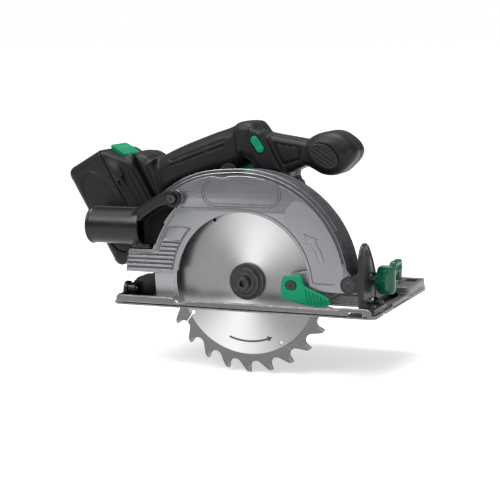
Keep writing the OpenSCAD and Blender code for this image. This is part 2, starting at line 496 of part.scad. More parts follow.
module handle_solid(o = 0) {
  xz(hy - 17 + o, hy + 17 - o) offset(delta = -o) polygon(grip_pts);
  xz(hy - 26 + o, hy + 26 - o) intersection() { offset(delta = -o) polygon(grip_pts); polygon([[-150, 70], [-150, 140], [-106, 140], [-106, 121], [-92, 70]]); }
  xz(hy - 24 + o, hy + 22 - o) offset(delta = -o) polygon(hub_pts);
  xz(hy - 21 + o, hy + 21 - o) offset(delta = -o) polygon(knob_pts);
  xz(hy - 17 + o, hy + 17 - o) translate([20 , 124]) square([30, 20]);
}
hs_pts = [[-82, 129], [-57, 137], [28, 132], [66, 134], [-104, 119]];
module handle_body() difference() {
  union() {
    difference() { handle_solid(); handle_solid(2.6); }
    intersection() { handle_solid(0.4); for (p = hs_pts) ycyl(p[0], p[1], hy - 30, hy + 30, 4.2); }
  }
  for (p = hs_pts) { ycyl(p[0], p[1], hy - 11, hy + 12, 1.9); ycyl(p[0], p[1], hy + 9.5, hy + 30, 3.2); }
  // room for the motor housing and the gear housing
  ycyl(mx, mz, -40, 60, motor_r + 1);
  ycyl(mx, mz, -40, -16.8, 41.5);
  // slot for the trigger
  blk(-50, -7, hy - 7.6, hy + 7.6, 108, 134);
  // lock-off button hole, right through the hub
  for (s = [0]) xz(-40, 30) slot2([-3, 147.5], [2, 139.5], 4.7);
  // mouth towards the battery
  translate([-117.7, 0, 108.6]) rotate([0, -batt_tilt, 0]) blk(-3, 2.8, hy - 19, hy + 19, -22, 20);
}
module handle_shell_right() color([0.07, 0.07, 0.08]) intersection() { handle_body(); blk(-160, 110, -60, hy, 30, 180); }
module handle_shell_left() color([0.07, 0.07, 0.08]) intersection() { handle_body(); blk(-160, 110, hy, 60, 30, 180); }
module handle_screws() color([0.2, 0.2, 0.21]) for (p = hs_pts) { ycyl(p[0], p[1], hy - 11, hy + 12, 1.9); ycyl(p[0], p[1], hy + 9.5, hy + 12, 3.2); }
module grip_inserts() color([0.1, 0.1, 0.11]) for (s = [-1, 1]) {
  y = hy + s * 22.6;
  xz(y - 1.6, y + 1.6) polygon([[44, 140.3], [53, 145], [64.5, 142.5], [72, 134], [73.5, 128.6], [70, 122.8], [62.5, 121.6], [50.5, 129]]);
}
module switch_module() color([0.15, 0.15, 0.16]) { blk(-48, -18, hy - 9, hy + 9, 135.6, 146); blk(-30, -26, hy - 3, hy + 3, 134.4, 135.6); }
module terminal_block() color([0.12, 0.12, 0.13]) translate([-117.7, 0, 108.6]) rotate([0, -batt_tilt, 0]) {
  blk(3.4, 11, hy - 13.6, hy + 13.6, -16.8, 14);
  for (y = [-9, -3, 3, 9]) blk(-4.5, 3.4, hy + y - 0.5, hy + y + 0.5, -16, -4);
}

// ---------------------------------------------------------------- trigger and buttons
module trigger() color([0.03, 0.5, 0.38]) difference() {
  xz(hy - 7, hy + 7) polygon([[-45, 132], [-45, 126], [-40, 119], [-31, 113.6], [-21, 111.4], [-13, 113.4], [-9, 118.4], [-9.4, 122.6], [-13, 124.2], [-18, 124], [-20, 127.5], [-20, 130.6]]);
  ycyl(-42, 130, hy - 8, hy + 8, 2);
}
module lock_off_button() color([0.03, 0.6, 0.42]) xz(hy - 25.6, hy + 19.4) slot2([-3, 147.5], [2, 139.5], 4.3);
// Push pin that drops into a tooth space of the spindle gear
module spindle_lock() color([0.1, 0.1, 0.11]) { xcyl(-28, az, -36, -30.4, 4.4); xcyl(-28, az, -30.4, ax - 17, 2); blk(ax - 17.2, ax - 15.5, -29.5, -26.5, az - 0.35, az + 0.35); }

// ---------------------------------------------------------------- battery
// Local frame: Z runs along the slide, X away from the battery towards the handle
bu0 = 92.5; bv1 = -48;
module batt() rotate([0, -batt_tilt, 0]) children();
module bshape(x0, x1, w, r) translate([0, hy, 0]) linear_extrude(batt_l) rrect(x0, x1, -w / 2, w / 2, r);
module battery_lower_case() color([0.09, 0.09, 0.1]) batt() translate([0, 0, bu0]) difference() {
  intersection() { bshape(-109, -68.5, batt_w, 8); translate([0, 60, 0]) rotate([90, 0, 0]) linear_extrude(120) rrect(-109, -50, 0, batt_l, 9); }
  translate([0, hy, 2.6]) linear_extrude(batt_l - 5.2) rrect(-106.4, -60, -batt_w / 2 + 2.6, batt_w / 2 - 2.6, 6);
  bscrews();
}
module battery_upper_case() color([0.09, 0.09, 0.1]) batt() translate([0, 0, bu0]) difference() {
  union() {
    // the shoulders slope in to the rails
    translate([0, hy, 3]) linear_extrude(batt_l - 4.5) polygon([[-68.5, -batt_w / 2], [-66, -batt_w / 2], [bv1, -22.5], [bv1, 22.5], [-66, batt_w / 2], [-68.5, batt_w / 2]]);
  }
  translate([0, hy, 6]) linear_extrude(batt_l - 11) polygon([[-70, 2.6 - batt_w / 2], [-67, 2.6 - batt_w / 2], [bv1 - 2.6, -21], [bv1 - 2.6, 21], [-67, batt_w / 2 - 2.6], [-70, batt_w / 2 - 2.6]]);
  translate([0, hy, 0]) blkz(-53.5, bv1 + 1, -14, 14, -1, 60);
  // pocket for the latch
  translate([0, hy, 0]) blkz(-66.6, bv1 + 1, -15.6, 15.6, 84, batt_l);
  bscrews();
}
module blkz(x0, x1, y0, y1, z0, z1) translate([x0, y0, z0]) cube([x1 - x0, y1 - y0, z1 - z0]);
module battery_cells() color([0.2, 0.35, 0.55]) batt() translate([0, 0, bu0]) for (i = [0:4], j = [0:1])
  translate([-95.6 + 19.4 * j, hy - 29, 14 + 19 * i]) rotate([-90, 0, 0]) cylinder(h = 58, r = 9.2);
module bscrews() for (y = [-32.6, 32.6], z = [8, batt_l - 9]) translate([-108.2, hy + y, z]) rotate([0, 90, 0]) cylinder(h = 43, r = 1.4);
module battery_screws() color([0.3, 0.3, 0.31]) batt() translate([0, 0, bu0]) bscrews();
module battery_latch() color([0.03, 0.42, 0.32]) batt() translate([0, hy, bu0])
  translate([0, 15, 0]) rotate([90, 0, 0]) linear_extrude(30) polygon([[-63.6, 87], [-52, 87], [-51, 88.4], [-61, 101.8], [-63.6, 101.8]]);

shoe_plate();
bevel_quadrant();
quadrant_screws();
rear_pivot_bracket();
bevel_pins();
front_tilt_bracket();
rear_tilt_bracket();
depth_arm();
arm_rivets();
depth_pivot_bolt();
bevel_knob();
bevel_bolt();
fence_knob();
fence_screw();
upper_guard();
dust_nozzle();
nozzle_screw();
gear_housing();
gear_cover();
gearcase_screws();
motor_housing();
motor_cap();
cap_screws();
handle_shell_right();
handle_shell_left();
handle_screws();
grip_inserts();
switch_module();
terminal_block();
motor_can();
field_magnets();
brush_gear();
motor_bearings();
spindle_bearings();
guard_spring();
rotor_shaft();
armature();
commutator();
cooling_fan();
pinion();
spindle();
spindle_gear();
inner_flange();
saw_blade();
carbide_tips();
outer_flange();
blade_bolt();
lower_guard();
guard_lever();
lever_screw();
depth_lock_lever();
depth_lock_bolt();
trigger();
lock_off_button();
spindle_lock();
battery_lower_case();
battery_upper_case();
battery_cells();
battery_screws();
battery_latch();
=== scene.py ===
import math
import bpy
import bmesh
import numpy as np
from mathutils import Matrix, Vector


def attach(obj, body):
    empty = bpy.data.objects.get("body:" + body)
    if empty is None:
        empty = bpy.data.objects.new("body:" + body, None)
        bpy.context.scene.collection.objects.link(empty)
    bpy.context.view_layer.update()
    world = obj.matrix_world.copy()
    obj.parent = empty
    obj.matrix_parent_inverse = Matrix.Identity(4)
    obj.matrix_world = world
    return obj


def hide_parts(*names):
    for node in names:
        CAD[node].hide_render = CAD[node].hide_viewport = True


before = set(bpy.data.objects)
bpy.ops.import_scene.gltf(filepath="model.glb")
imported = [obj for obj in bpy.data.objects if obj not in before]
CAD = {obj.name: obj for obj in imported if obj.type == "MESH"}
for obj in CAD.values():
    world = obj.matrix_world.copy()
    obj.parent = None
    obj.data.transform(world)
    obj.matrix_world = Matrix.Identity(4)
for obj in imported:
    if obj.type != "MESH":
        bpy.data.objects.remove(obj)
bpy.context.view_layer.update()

# ------------------------------------------------------------------ numbers shared with the CAD model, in millimetres
AX, AZ, BY, HY = -2.5, 22.7, -52.5, -4.0
PVX, PVZ, BVZ = 98.0, 26.9, 10.0
MX, MZ = AX + 18 * math.cos(math.radians(75)), AZ + 18 * math.sin(math.radians(75))
BOLT_Y, BOLT_Z = -41.0, 28.5
FNX, FNY = 104.0, 48.0


def P(r, a, c=(AX, AZ)):
    return (c[0] + r * math.cos(math.radians(a)), c[1] + r * math.sin(math.radians(a)))


def arc(r, a0, a1, n=24, c=(AX, AZ)):
    return [P(r, a0 + (a1 - a0) * i / n, c) for i in range(n + 1)]


def ch(pts, n=2, closed=True):
    """Corner cutting, which turns a listed outline into a smooth one."""
    for _ in range(n):
        out, m = [], len(pts)
        for i in range(m if closed else m - 1):
            a, b = pts[i], pts[(i + 1) % m]
            out += [tuple(0.75 * p + 0.25 * q for p, q in zip(a, b)), tuple(0.25 * p + 0.75 * q for p, q in zip(a, b))]
        if not closed:
            out = [pts[0]] + out + [pts[-1]]
        pts = out
    return pts


# ------------------------------------------------------------------ meshes
class Bag:
    """Vertices and faces of one piece, in millimetres."""

    def __init__(self):
        self.v, self.f, self.m, self.n = [], [], [], 0

    def add(self, part, mi=0):
        v, f = part
        o = self.n
        self.v.append(np.asarray(v, float).reshape(-1, 3))
        self.f += [tuple(i + o for i in q) for q in f]
        self.m += [mi] * len(f)
        self.n += len(v)
        return self


def make(name, bag, mats, body, replaces=(), sharp=32, xf=None):
    if not isinstance(bag, Bag):
        bag = Bag().add(bag)
    v = np.concatenate(bag.v)
    if xf is not None:
        v = v @ np.array(xf)[:3, :3].T + np.array(xf)[:3, 3]
    me = bpy.data.meshes.new(name)
    me.from_pydata((v * 0.001).tolist(), [], bag.f)
    me.update()
    ob = bpy.data.objects.new(name, me)
    bpy.context.scene.collection.objects.link(ob)
    bm = bmesh.new()
    bm.from_mesh(me)
    for i, f in enumerate(bm.faces):
        f.material_index = bag.m[i]
    bmesh.ops.recalc_face_normals(bm, faces=bm.faces)
    bm.to_mesh(me)
    bm.free()
    for m in mats if isinstance(mats, (list, tuple)) else [mats]:
        me.materials.append(m)
    me.shade_smooth()
    me.set_sharp_from_angle(angle=math.radians(sharp))
    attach(ob, body)
    if replaces:
        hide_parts(*replaces)
    return ob


def prism(loops, t0, t1, axis="y", bevel=0.45, res=2):
    """A plate with rounded edges from closed outlines, the first one outside and the others holes. Extruded from t0 to t1 along axis."""
    if isinstance(loops[0][0], (int, float)):
        loops = [loops]
    cu = bpy.data.curves.new("tmp", "CURVE")
    cu.dimensions = "2D"
    cu.fill_mode = "BOTH"
    bevel = min(bevel, (t1 - t0) * 0.45)
    cu.extrude = (t1 - t0) / 2 - bevel
    cu.bevel_depth = bevel
    cu.bevel_resolution = res
    cu.offset = -bevel
    for lp in loops:
        sp = cu.splines.new("POLY")
        sp.points.add(len(lp) - 1)
        for i, p in enumerate(lp):
            sp.points[i].co = (p[0], p[1], 0, 1)
        sp.use_cyclic_u = True
    ob = bpy.data.objects.new("tmp", cu)
    bpy.context.scene.collection.objects.link(ob)
    bpy.context.view_layer.update()
    me = bpy.data.meshes.new_from_object(ob.evaluated_get(bpy.context.evaluated_depsgraph_get()))
    bm = bmesh.new()
    bm.from_mesh(me)
    bmesh.ops.remove_doubles(bm, verts=bm.verts, dist=0.002)
    bmesh.ops.dissolve_degenerate(bm, edges=bm.edges, dist=0.001)
    v = np.array([x.co[:] for x in bm.verts])
    for i, x in enumerate(bm.verts):
        x.index = i
    f = [tuple(x.index for x in q.verts) for q in bm.faces]
    bm.free()
    bpy.data.objects.remove(ob)
    bpy.data.curves.remove(cu)
    bpy.data.meshes.remove(me)
    c = (t0 + t1) / 2
    if axis == "y":
        v = np.stack([v[:, 0], c - v[:, 2], v[:, 1]], 1)
    elif axis == "x":
        v = np.stack([c + v[:, 2], v[:, 0], v[:, 1]], 1)
    else:
        v = np.stack([v[:, 0], v[:, 1], c + v[:, 2]], 1)
    return v, f


def circ(x, z, r, n=32):
    return [(x + r * math.cos(2 * math.pi * i / n), z + r * math.sin(2 * math.pi * i / n)) for i in range(n)]


def rrect(x0, x1, y0, y1, r, n=6):
    out = []
    for cx, cy, a in ((x1 - r, y1 - r, 0), (x0 + r, y1 - r, 90), (x0 + r, y0 + r, 180), (x1 - r, y0 + r, 270)):
        out += [P(r, a + 90 * i / n, (cx, cy)) for i in range(n + 1)]
    return out


def block(x0, x1, y0, y1, z0, z1, b=0.5, r=1.2):
    return prism(rrect(x0, x1, y0, y1, min(r, (x1 - x0) / 2.2, (y1 - y0) / 2.2)), z0, z1, "z", b)


def grid_faces(n, m, closed_n, closed_m):
    f = []
    for i in range(n if closed_n else n - 1):
        for j in range(m if closed_m else m - 1):
            f.append((i * m + j, ((i + 1) % n) * m + j, ((i + 1) % n) * m + (j + 1) % m, i * m + (j + 1) % m))
    return f


def sweep(prof, a0, a1, n, c=(AX, AZ)):
    """A closed (radius, y) section carried round the arbor from a0 to a1."""
    m, v = len(prof), []
    for i in range(n + 1):
        a = math.radians(a0 + (a1 - a0) * i / n)
        v += [(c[0] + r * math.cos(a), y, c[1] + r * math.sin(a)) for r, y in prof]
    f = grid_faces(n + 1, m, False, True)
    f += [tuple(range(m))[::-1], tuple(range(n * m, n * m + m))]
    return np.array(v), f


def lathe(prof, c, axis="y", n=72):
    """A closed (along, radius) section turned right round an axis. The ends lie on the axis when their radius is 0."""
    m, v = len(prof), []
    for i in range(n):
        a = 2 * math.pi * i / n
        for t, r in prof:
            x, y = r * math.cos(a), r * math.sin(a)
            v.append({"y": (c[0] + x, t, c[1] + y), "x": (t, c[0] + x, c[1] + y), "z": (c[0] + x, c[1] + y, t)}[axis])
    v = np.array(v)
    f = grid_faces(n, m, True, True)
    # weld the points on the axis
    key, idx, out = {}, [], []
    for p in v:
        k = tuple(np.round(p, 4))
        if k not in key:
            key[k] = len(out)
            out.append(p)
        idx.append(key[k])
    g = []
    for q in f:
        w = []
        for i in q:
            if idx[i] not in w:
                w.append(idx[i])
        if len(w) > 2:
            g.append(tuple(w))
    return np.array(out), g


def tube(pts, r, n=8, closed=False, sq=None):
    """A round or flat bead along a line of points."""
    pts = np.array(pts, float)
    k, v = len(pts), []
    up0 = np.array([0, 1.0, 0])
    for i in range(k):
        if closed:
            t = pts[(i + 1) % k] - pts[i - 1]
        else:
            t = pts[min(i + 1, k - 1)] - pts[max(i - 1, 0)]
        t /= np.linalg.norm(t) + 1e-12
        s = np.cross(t, up0)
        s /= np.linalg.norm(s) + 1e-12
        u = np.cross(s, t)
        for j in range(n):
            a = 2 * math.pi * j / n
            cu, cs = math.cos(a), math.sin(a)
            if sq:
                v.append(pts[i] + s * sq[0] * cs + u * sq[1] * cu)
            else:
                v.append(pts[i] + r * (s * cs + u * cu))
    f = grid_faces(k, n, closed, True)
    if not closed:
        f += [tuple(range(n))[::-1], tuple(range((k - 1) * n, k * n))]
    return np.array(v), f


def line(pts, y, r=0.5, closed=False, n=8):
    return tube([(p[0], y, p[1]) for p in pts], r, n, closed)


# ------------------------------------------------------------------ solids from distance fields
class Field:
    """A box of samples. Shapes are functions of X, Y, Z, negative inside, in millimetres."""

    def __init__(self, x0, x1, y0, y1, z0, z1, h):
        self.o, self.h = np.array([x0, y0, z0], float), h
        self.n = [int(math.ceil((b - a) / h)) + 1 for a, b in ((x0, x1), (y0, y1), (z0, z1))]
        self.X = (x0 + h * np.arange(self.n[0]))[:, None, None]
        self.Y = (y0 + h * np.arange(self.n[1]))[None, :, None]
        self.Z = (z0 + h * np.arange(self.n[2]))[None, None, :]

    def poly(self, pts, plane="xz"):
        A, B = {"xz": (self.X, self.Z), "yz": (self.Y, self.Z), "xy": (self.X, self.Y)}[plane]
        A, B = np.broadcast_arrays(A, B)
        d, s = np.full(A.shape, 1e18), np.ones(A.shape)
        for i in range(len(pts)):
            a, b = pts[i], pts[i - 1]
            ex, ez = b[0] - a[0], b[1] - a[1]
            wx, wz = A - a[0], B - a[1]
            t = np.clip((wx * ex + wz * ez) / (ex * ex + ez * ez + 1e-12), 0, 1)
            d = np.minimum(d, (wx - ex * t) ** 2 + (wz - ez * t) ** 2)
            c1, c2, c3 = B >= a[1], B < b[1], ex * wz > ez * wx
            s = np.where((c1 & c2 & c3) | (~c1 & ~c2 & ~c3), -s, s)
        return s * np.sqrt(d)

    def ext(self, d2, t0, t1, r=1.0, axis="y"):
        T = {"y": self.Y, "x": self.X, "z": self.Z}[axis]
        return rint(d2, np.abs(T - (t0 + t1) / 2) - (t1 - t0) / 2, r)

    def cyl(self, a, b, t0, t1, r, rd=0.5, axis="y"):
        A, B = {"y": (self.X, self.Z), "x": (self.Y, self.Z), "z": (self.X, self.Y)}[axis]
        return self.ext(np.hypot(A - a, B - b) - r, t0, t1, rd, axis)

    def box(self, x0, x1, y0, y1, z0, z1, r=0.5):
        q = [np.abs(T - (a + b) / 2) - (b - a) / 2 + r for T, a, b in ((self.X, x0, x1), (self.Y, y0, y1), (self.Z, z0, z1))]
        return np.sqrt(np.maximum(q[0], 0) ** 2 + np.maximum(q[1], 0) ** 2 + np.maximum(q[2], 0) ** 2) + np.minimum(np.maximum(np.maximum(q[0], q[1]), q[2]), 0) - r

    def mesh(self, D):
        D = np.broadcast_to(D, self.n).astype(np.float32).copy()
        big = float(self.h)
        for s in (np.s_[0], np.s_[-1]):
            D[s] = np.maximum(D[s], big)
            D[:, s] = np.maximum(D[:, s], big)
            D[:, :, s] = np.maximum(D[:, :, s], big)
        D[np.abs(D) < 1e-5] = 1e-5
        nx, ny, nz = D.shape
        S = D < 0
        cor = [(i, j, k) for i in (0, 1) for j in (0, 1) for k in (0, 1)]
        cnt = np.zeros((nx - 1, ny - 1, nz - 1), np.int8)
        for i, j, k in cor:
            cnt += S[i:nx - 1 + i, j:ny - 1 + j, k:nz - 1 + k]
        act = (cnt > 0) & (cnt < 8)
        idx = np.argwhere(act)
        vid = np.full(act.shape, -1, np.int64)
        vid[act] = np.arange(len(idx))
        acc, num = np.zeros((len(idx), 3)), np.zeros(len(idx))
        val = {c: D[idx[:, 0] + c[0], idx[:, 1] + c[1], idx[:, 2] + c[2]].astype(float) for c in cor}
        for a in cor:
            for ax in range(3):
                if a[ax] == 0:
                    b = list(a)
                    b[ax] = 1
                    va, vb = val[a], val[tuple(b)]
                    m = (va < 0) != (vb < 0)
                    t = np.where(m, va / np.where(m, va - vb, 1), 0)
                    p = np.tile(np.array(a, float), (len(idx), 1))
                    p[:, ax] = t
                    acc += p * m[:, None]
                    num += m
        pos = idx + acc / num[:, None]
        # two steps onto the true surface
        for _ in range(2):
            d, g = self.sample(D, pos)
            gl = np.maximum((g * g).sum(1), 0.2)
            pos = pos - np.clip(d / gl, -0.45, 0.45)[:, None] * g
        faces = []
        for ax in range(3):
            sl0, sl1 = [slice(None)] * 3, [slice(None)] * 3
            sl0[ax], sl1[ax] = slice(0, -1), slice(1, None)
            A, B = S[tuple(sl0)], S[tuple(sl1)]
            e = np.argwhere(A != B)
            o1, o2 = [(1, 2), (2, 0), (0, 1)][ax]
            ok = (e[:, o1] > 0) & (e[:, o2] > 0) & (e[:, o1] < D.shape[o1] - 1) & (e[:, o2] < D.shape[o2] - 1)
            e = e[ok]
            q = []
            for du, dv in ((1, 1), (0, 1), (0, 0), (1, 0)):
                c = e.copy()
                c[:, o1] -= du
                c[:, o2] -= dv
                q.append(vid[c[:, 0], c[:, 1], c[:, 2]])
            q = np.stack(q, 1)
            fl = S[tuple(np.transpose(e))]
            q[~fl] = q[~fl][:, ::-1]
            faces.append(q)
        return self.o + pos * self.h, [tuple(x) for x in np.concatenate(faces).tolist()]

    def sample(self, D, p):
        n = np.array(D.shape)
        p = np.clip(p, 0, n - 1.001)
        i = p.astype(int)
        t = p - i
        c = {}
        for a in (0, 1):
            for b in (0, 1):
                for e in (0, 1):
                    c[a, b, e] = D[i[:, 0] + a, i[:, 1] + b, i[:, 2] + e].astype(float) / self.h
        x, y, z = t[:, 0], t[:, 1], t[:, 2]
        w = lambda a, u: u if a else 1 - u
        d = sum(c[a, b, e] * w(a, x) * w(b, y) * w(e, z) for a, b, e in c)
        gx = sum((c[1, b, e] - c[0, b, e]) * w(b, y) * w(e, z) for b in (0, 1) for e in (0, 1))
        gy = sum((c[a, 1, e] - c[a, 0, e]) * w(a, x) * w(e, z) for a in (0, 1) for e in (0, 1))
        gz = sum((c[a, b, 1] - c[a, b, 0]) * w(a, x) * w(b, y) for a in (0, 1) for b in (0, 1))
        return d, np.stack([gx, gy, gz], 1)


def rint(a, b, r):
    """Intersection with a rounded edge of radius r."""
    return np.minimum(np.maximum(a + r, b + r), 0) + np.hypot(np.maximum(a + r, 0), np.maximum(b + r, 0)) - r


def smin(a, b, k):
    h = np.clip(0.5 + 0.5 * (b - a) / k, 0, 1)
    return b * (1 - h) + a * h - k * h * (1 - h)


def smax(a, b, k):
    return -smin(-a, -b, k)


# ------------------------------------------------------------------ materials
def material(name, col, rough=0.5, metal=0.0, var=0.08, rvar=0.08, bump=0.12, grain=1400, blotch=28, wear=0.0, wearcol=None, coat=0.0, spec=0.5, dust=0.0, aniso=None):
    m = bpy.data.materials.new(name)
    m.use_nodes = True
    nt = m.node_tree
    nt.nodes.clear()
    N = lambda t, **k: _node(nt, t, **k)
    L = nt.links.new
    out, bs = N("ShaderNodeOutputMaterial"), N("ShaderNodeBsdfPrincipled")
    L(bs.outputs[0], out.inputs[0])
    tc = N("ShaderNodeTexCoord")
    n1 = N("ShaderNodeTexNoise")
    n1.inputs["Scale"].default_value, n1.inputs["Detail"].default_value = blotch, 4
    n2 = N("ShaderNodeTexNoise")
    n2.inputs["Scale"].default_value, n2.inputs["Detail"].default_value = grain, 3
    for n in (n1, n2):
        L(tc.outputs["Object"], n.inputs["Vector"])
    mx = N("ShaderNodeMix", data_type="RGBA")
    mx.inputs[6].default_value = (*[c * (1 - var) for c in col], 1)
    mx.inputs[7].default_value = (*[min(1, c * (1 + var)) for c in col], 1)
    add = N("ShaderNodeMath", operation="MULTIPLY_ADD")
    L(n2.outputs["Fac"], add.inputs[0])
    add.inputs[1].default_value, add.inputs[2].default_value = 0.5, 0.0
    sm = N("ShaderNodeMath", operation="MULTIPLY_ADD")
    L(n1.outputs["Fac"], sm.inputs[0])
    sm.inputs[1].default_value = 0.7
    L(add.outputs[0], sm.inputs[2])
    L(sm.outputs[0], mx.inputs[0])
    color = mx.outputs[2]
    rr = N("ShaderNodeMapRange")
    L(n1.outputs["Fac"], rr.inputs[0])
    rr.inputs[1].default_value, rr.inputs[2].default_value = 0.3, 0.7
    rr.inputs[3].default_value, rr.inputs[4].default_value = rough - rvar, rough + rvar
    roughness = rr.outputs[0]
    if wear:
        be = N("ShaderNodeBevel", samples=4)
        be.inputs["Radius"].default_value = 0.0011
        ge = N("ShaderNodeNewGeometry")
        dt = N("ShaderNodeVectorMath", operation="DOT_PRODUCT")
        L(be.outputs[0], dt.inputs[0])
        L(ge.outputs["Normal"], dt.inputs[1])
        wr = N("ShaderNodeMapRange")
        L(dt.outputs["Value"], wr.inputs[0])
        wr.inputs[1].default_value, wr.inputs[2].default_value = 0.985, 0.90
        wr.inputs[3].default_value, wr.inputs[4].default_value = 0, wear
        n3 = N("ShaderNodeTexNoise")
        n3.inputs["Scale"].default_value, n3.inputs["Detail"].default_value = 160, 5
        L(tc.outputs["Object"], n3.inputs["Vector"])
        w2 = N("ShaderNodeMapRange")
        L(n3.outputs["Fac"], w2.inputs[0])
        w2.inputs[1].default_value, w2.inputs[2].default_value = 0.35, 0.6
        mu = N("ShaderNodeMath", operation="MULTIPLY")
        L(wr.outputs[0], mu.inputs[0])
        L(w2.outputs[0], mu.inputs[1])
        m2 = N("ShaderNodeMix", data_type="RGBA")
        L(mu.outputs[0], m2.inputs[0])
        L(color, m2.inputs[6])
        m2.inputs[7].default_value = (*(wearcol or [min(1, c * 1.7 + 0.05) for c in col]), 1)
        color = m2.outputs[2]
    bp = N("ShaderNodeBump")
    bp.inputs["Strength"].default_value, bp.inputs["Distance"].default_value = bump, 0.0003
    L(n2.outputs["Fac"], bp.inputs["Height"])
    L(bp.outputs[0], bs.inputs["Normal"])
    L(color, bs.inputs["Base Color"])
    L(roughness, bs.inputs["Roughness"])
    bs.inputs["Metallic"].default_value = metal
    bs.inputs["Specular IOR Level"].default_value = spec
    if coat:
        bs.inputs["Coat Weight"].default_value = coat
        bs.inputs["Coat Roughness"].default_value = 0.12
    return m


def _node(nt, t, **k):
    n = nt.nodes.new(t)
    for a, b in k.items():
        setattr(n, a, b)
    return n


def blade_material():
    """Ground steel: an inner disc with circular brush lines and a painted highlight fan, a greyer rim and a printed
    rotation arrow.
    """
    m = bpy.data.materials.new("blade_ground_steel")
    m.use_nodes = True
    nt = m.node_tree
    nt.nodes.clear()
    N = lambda t, **k: _node(nt, t, **k)
    L = nt.links.new

    def math_(op, a, b=None, clamp=False):
        n = N("ShaderNodeMath", operation=op, use_clamp=clamp)
        for i, x in enumerate((a, b)):
            if x is None:
                continue
            if isinstance(x, (int, float)):
                n.inputs[i].default_value = x
            else:
                L(x, n.inputs[i])
        return n.outputs[0]

    out, bs = N("ShaderNodeOutputMaterial"), N("ShaderNodeBsdfPrincipled")
    L(bs.outputs[0], out.inputs[0])
    tc, sx = N("ShaderNodeTexCoord"), N("ShaderNodeSeparateXYZ")
    L(tc.outputs["Object"], sx.inputs[0])
    x, z = math_("SUBTRACT", sx.outputs[0], AX * 0.001), math_("SUBTRACT", sx.outputs[2], AZ * 0.001)
    r = math_("SQRT", math_("ADD", math_("MULTIPLY", x, x), math_("MULTIPLY", z, z)))
    ang = math_("ARCTAN2", z, x)
    cb = N("ShaderNodeCombineXYZ")
    L(math_("MULTIPLY", r, 2600), cb.inputs[0])
    L(math_("MULTIPLY", ang, 1.6), cb.inputs[1])
    nb = N("ShaderNodeTexNoise")
    nb.inputs["Scale"].default_value, nb.inputs["Detail"].default_value = 1.0, 5
    L(cb.outputs[0], nb.inputs["Vector"])
    # painted highlight: a soft fan of light and dark sectors in the base colour, standing in for the sheen that
    # circular brushing throws
    painted_highlight_fan = math_("POWER", math_("ADD", math_("MULTIPLY", math_("COSINE", math_("SUBTRACT", math_("MULTIPLY", ang, 2.0), 2.6)), 0.5), 0.5), 2.0)
    ring = math_("GREATER_THAN", r, 0.0662)
    edge = math_("MULTIPLY", math_("LESS_THAN", math_("ABSOLUTE", math_("SUBTRACT", r, 0.0662)), 0.00035), 0.35)
    base = math_("ADD", 0.20, math_("MULTIPLY", painted_highlight_fan, 0.42))
    base = math_("ADD", base, math_("MULTIPLY", math_("SUBTRACT", nb.outputs["Fac"], 0.5), 0.16))
    rim = math_("ADD", 0.15, math_("MULTIPLY", math_("SUBTRACT", nb.outputs["Fac"], 0.5), 0.12))
    lum = math_("ADD", math_("MULTIPLY", base, math_("SUBTRACT", 1.0, ring)), math_("MULTIPLY", rim, ring))
    lum = math_("MULTIPLY", lum, math_("SUBTRACT", 1.0, edge))
    # printed arrow, an arc near the foot of the disc with a head at its right end
    a0, a1 = math.radians(-110), math.radians(-70)
    inar = math_("MULTIPLY", math_("GREATER_THAN", ang, a0), math_("LESS_THAN", ang, a1))
    band = math_("LESS_THAN", math_("ABSOLUTE", math_("SUBTRACT", r, 0.0545)), 0.0009)
    hd = math_("MULTIPLY", math_("GREATER_THAN", ang, a1 - 0.004), math_("LESS_THAN", math_("ADD", math_("MULTIPLY", math_("SUBTRACT", ang, a1), 0.030), math_("ABSOLUTE", math_("SUBTRACT", r, 0.0545))), 0.0026))
    ink = math_("ADD", math_("MULTIPLY", inar, band), hd, True)
    near = math_("LESS_THAN", sx.outputs[1], (BY - 0.7) * 0.001)
    ink = math_("MULTIPLY", ink, near)
    lum = math_("MULTIPLY", lum, math_("SUBTRACT", 1.0, math_("MULTIPLY", ink, 0.93)))
    cc = N("ShaderNodeCombineColor")
    L(lum, cc.inputs[0])
    L(math_("MULTIPLY", lum, 1.005), cc.inputs[1])
    L(math_("MULTIPLY", lum, 1.015), cc.inputs[2])
    L(cc.outputs[0], bs.inputs["Base Color"])
    L(math_("ADD", math_("ADD", 0.26, math_("MULTIPLY", ring, 0.14)), math_("MULTIPLY", nb.outputs["Fac"], 0.12)), bs.inputs["Roughness"])
    L(math_("SUBTRACT", 0.9, math_("MULTIPLY", ink, 0.8)), bs.inputs["Metallic"])
    bp = N("ShaderNodeBump")
    bp.inputs["Strength"].default_value, bp.inputs["Distance"].default_value = 0.10, 0.0001
    L(nb.outputs["Fac"], bp.inputs["Height"])
    L(bp.outputs[0], bs.inputs["Normal"])
    return m


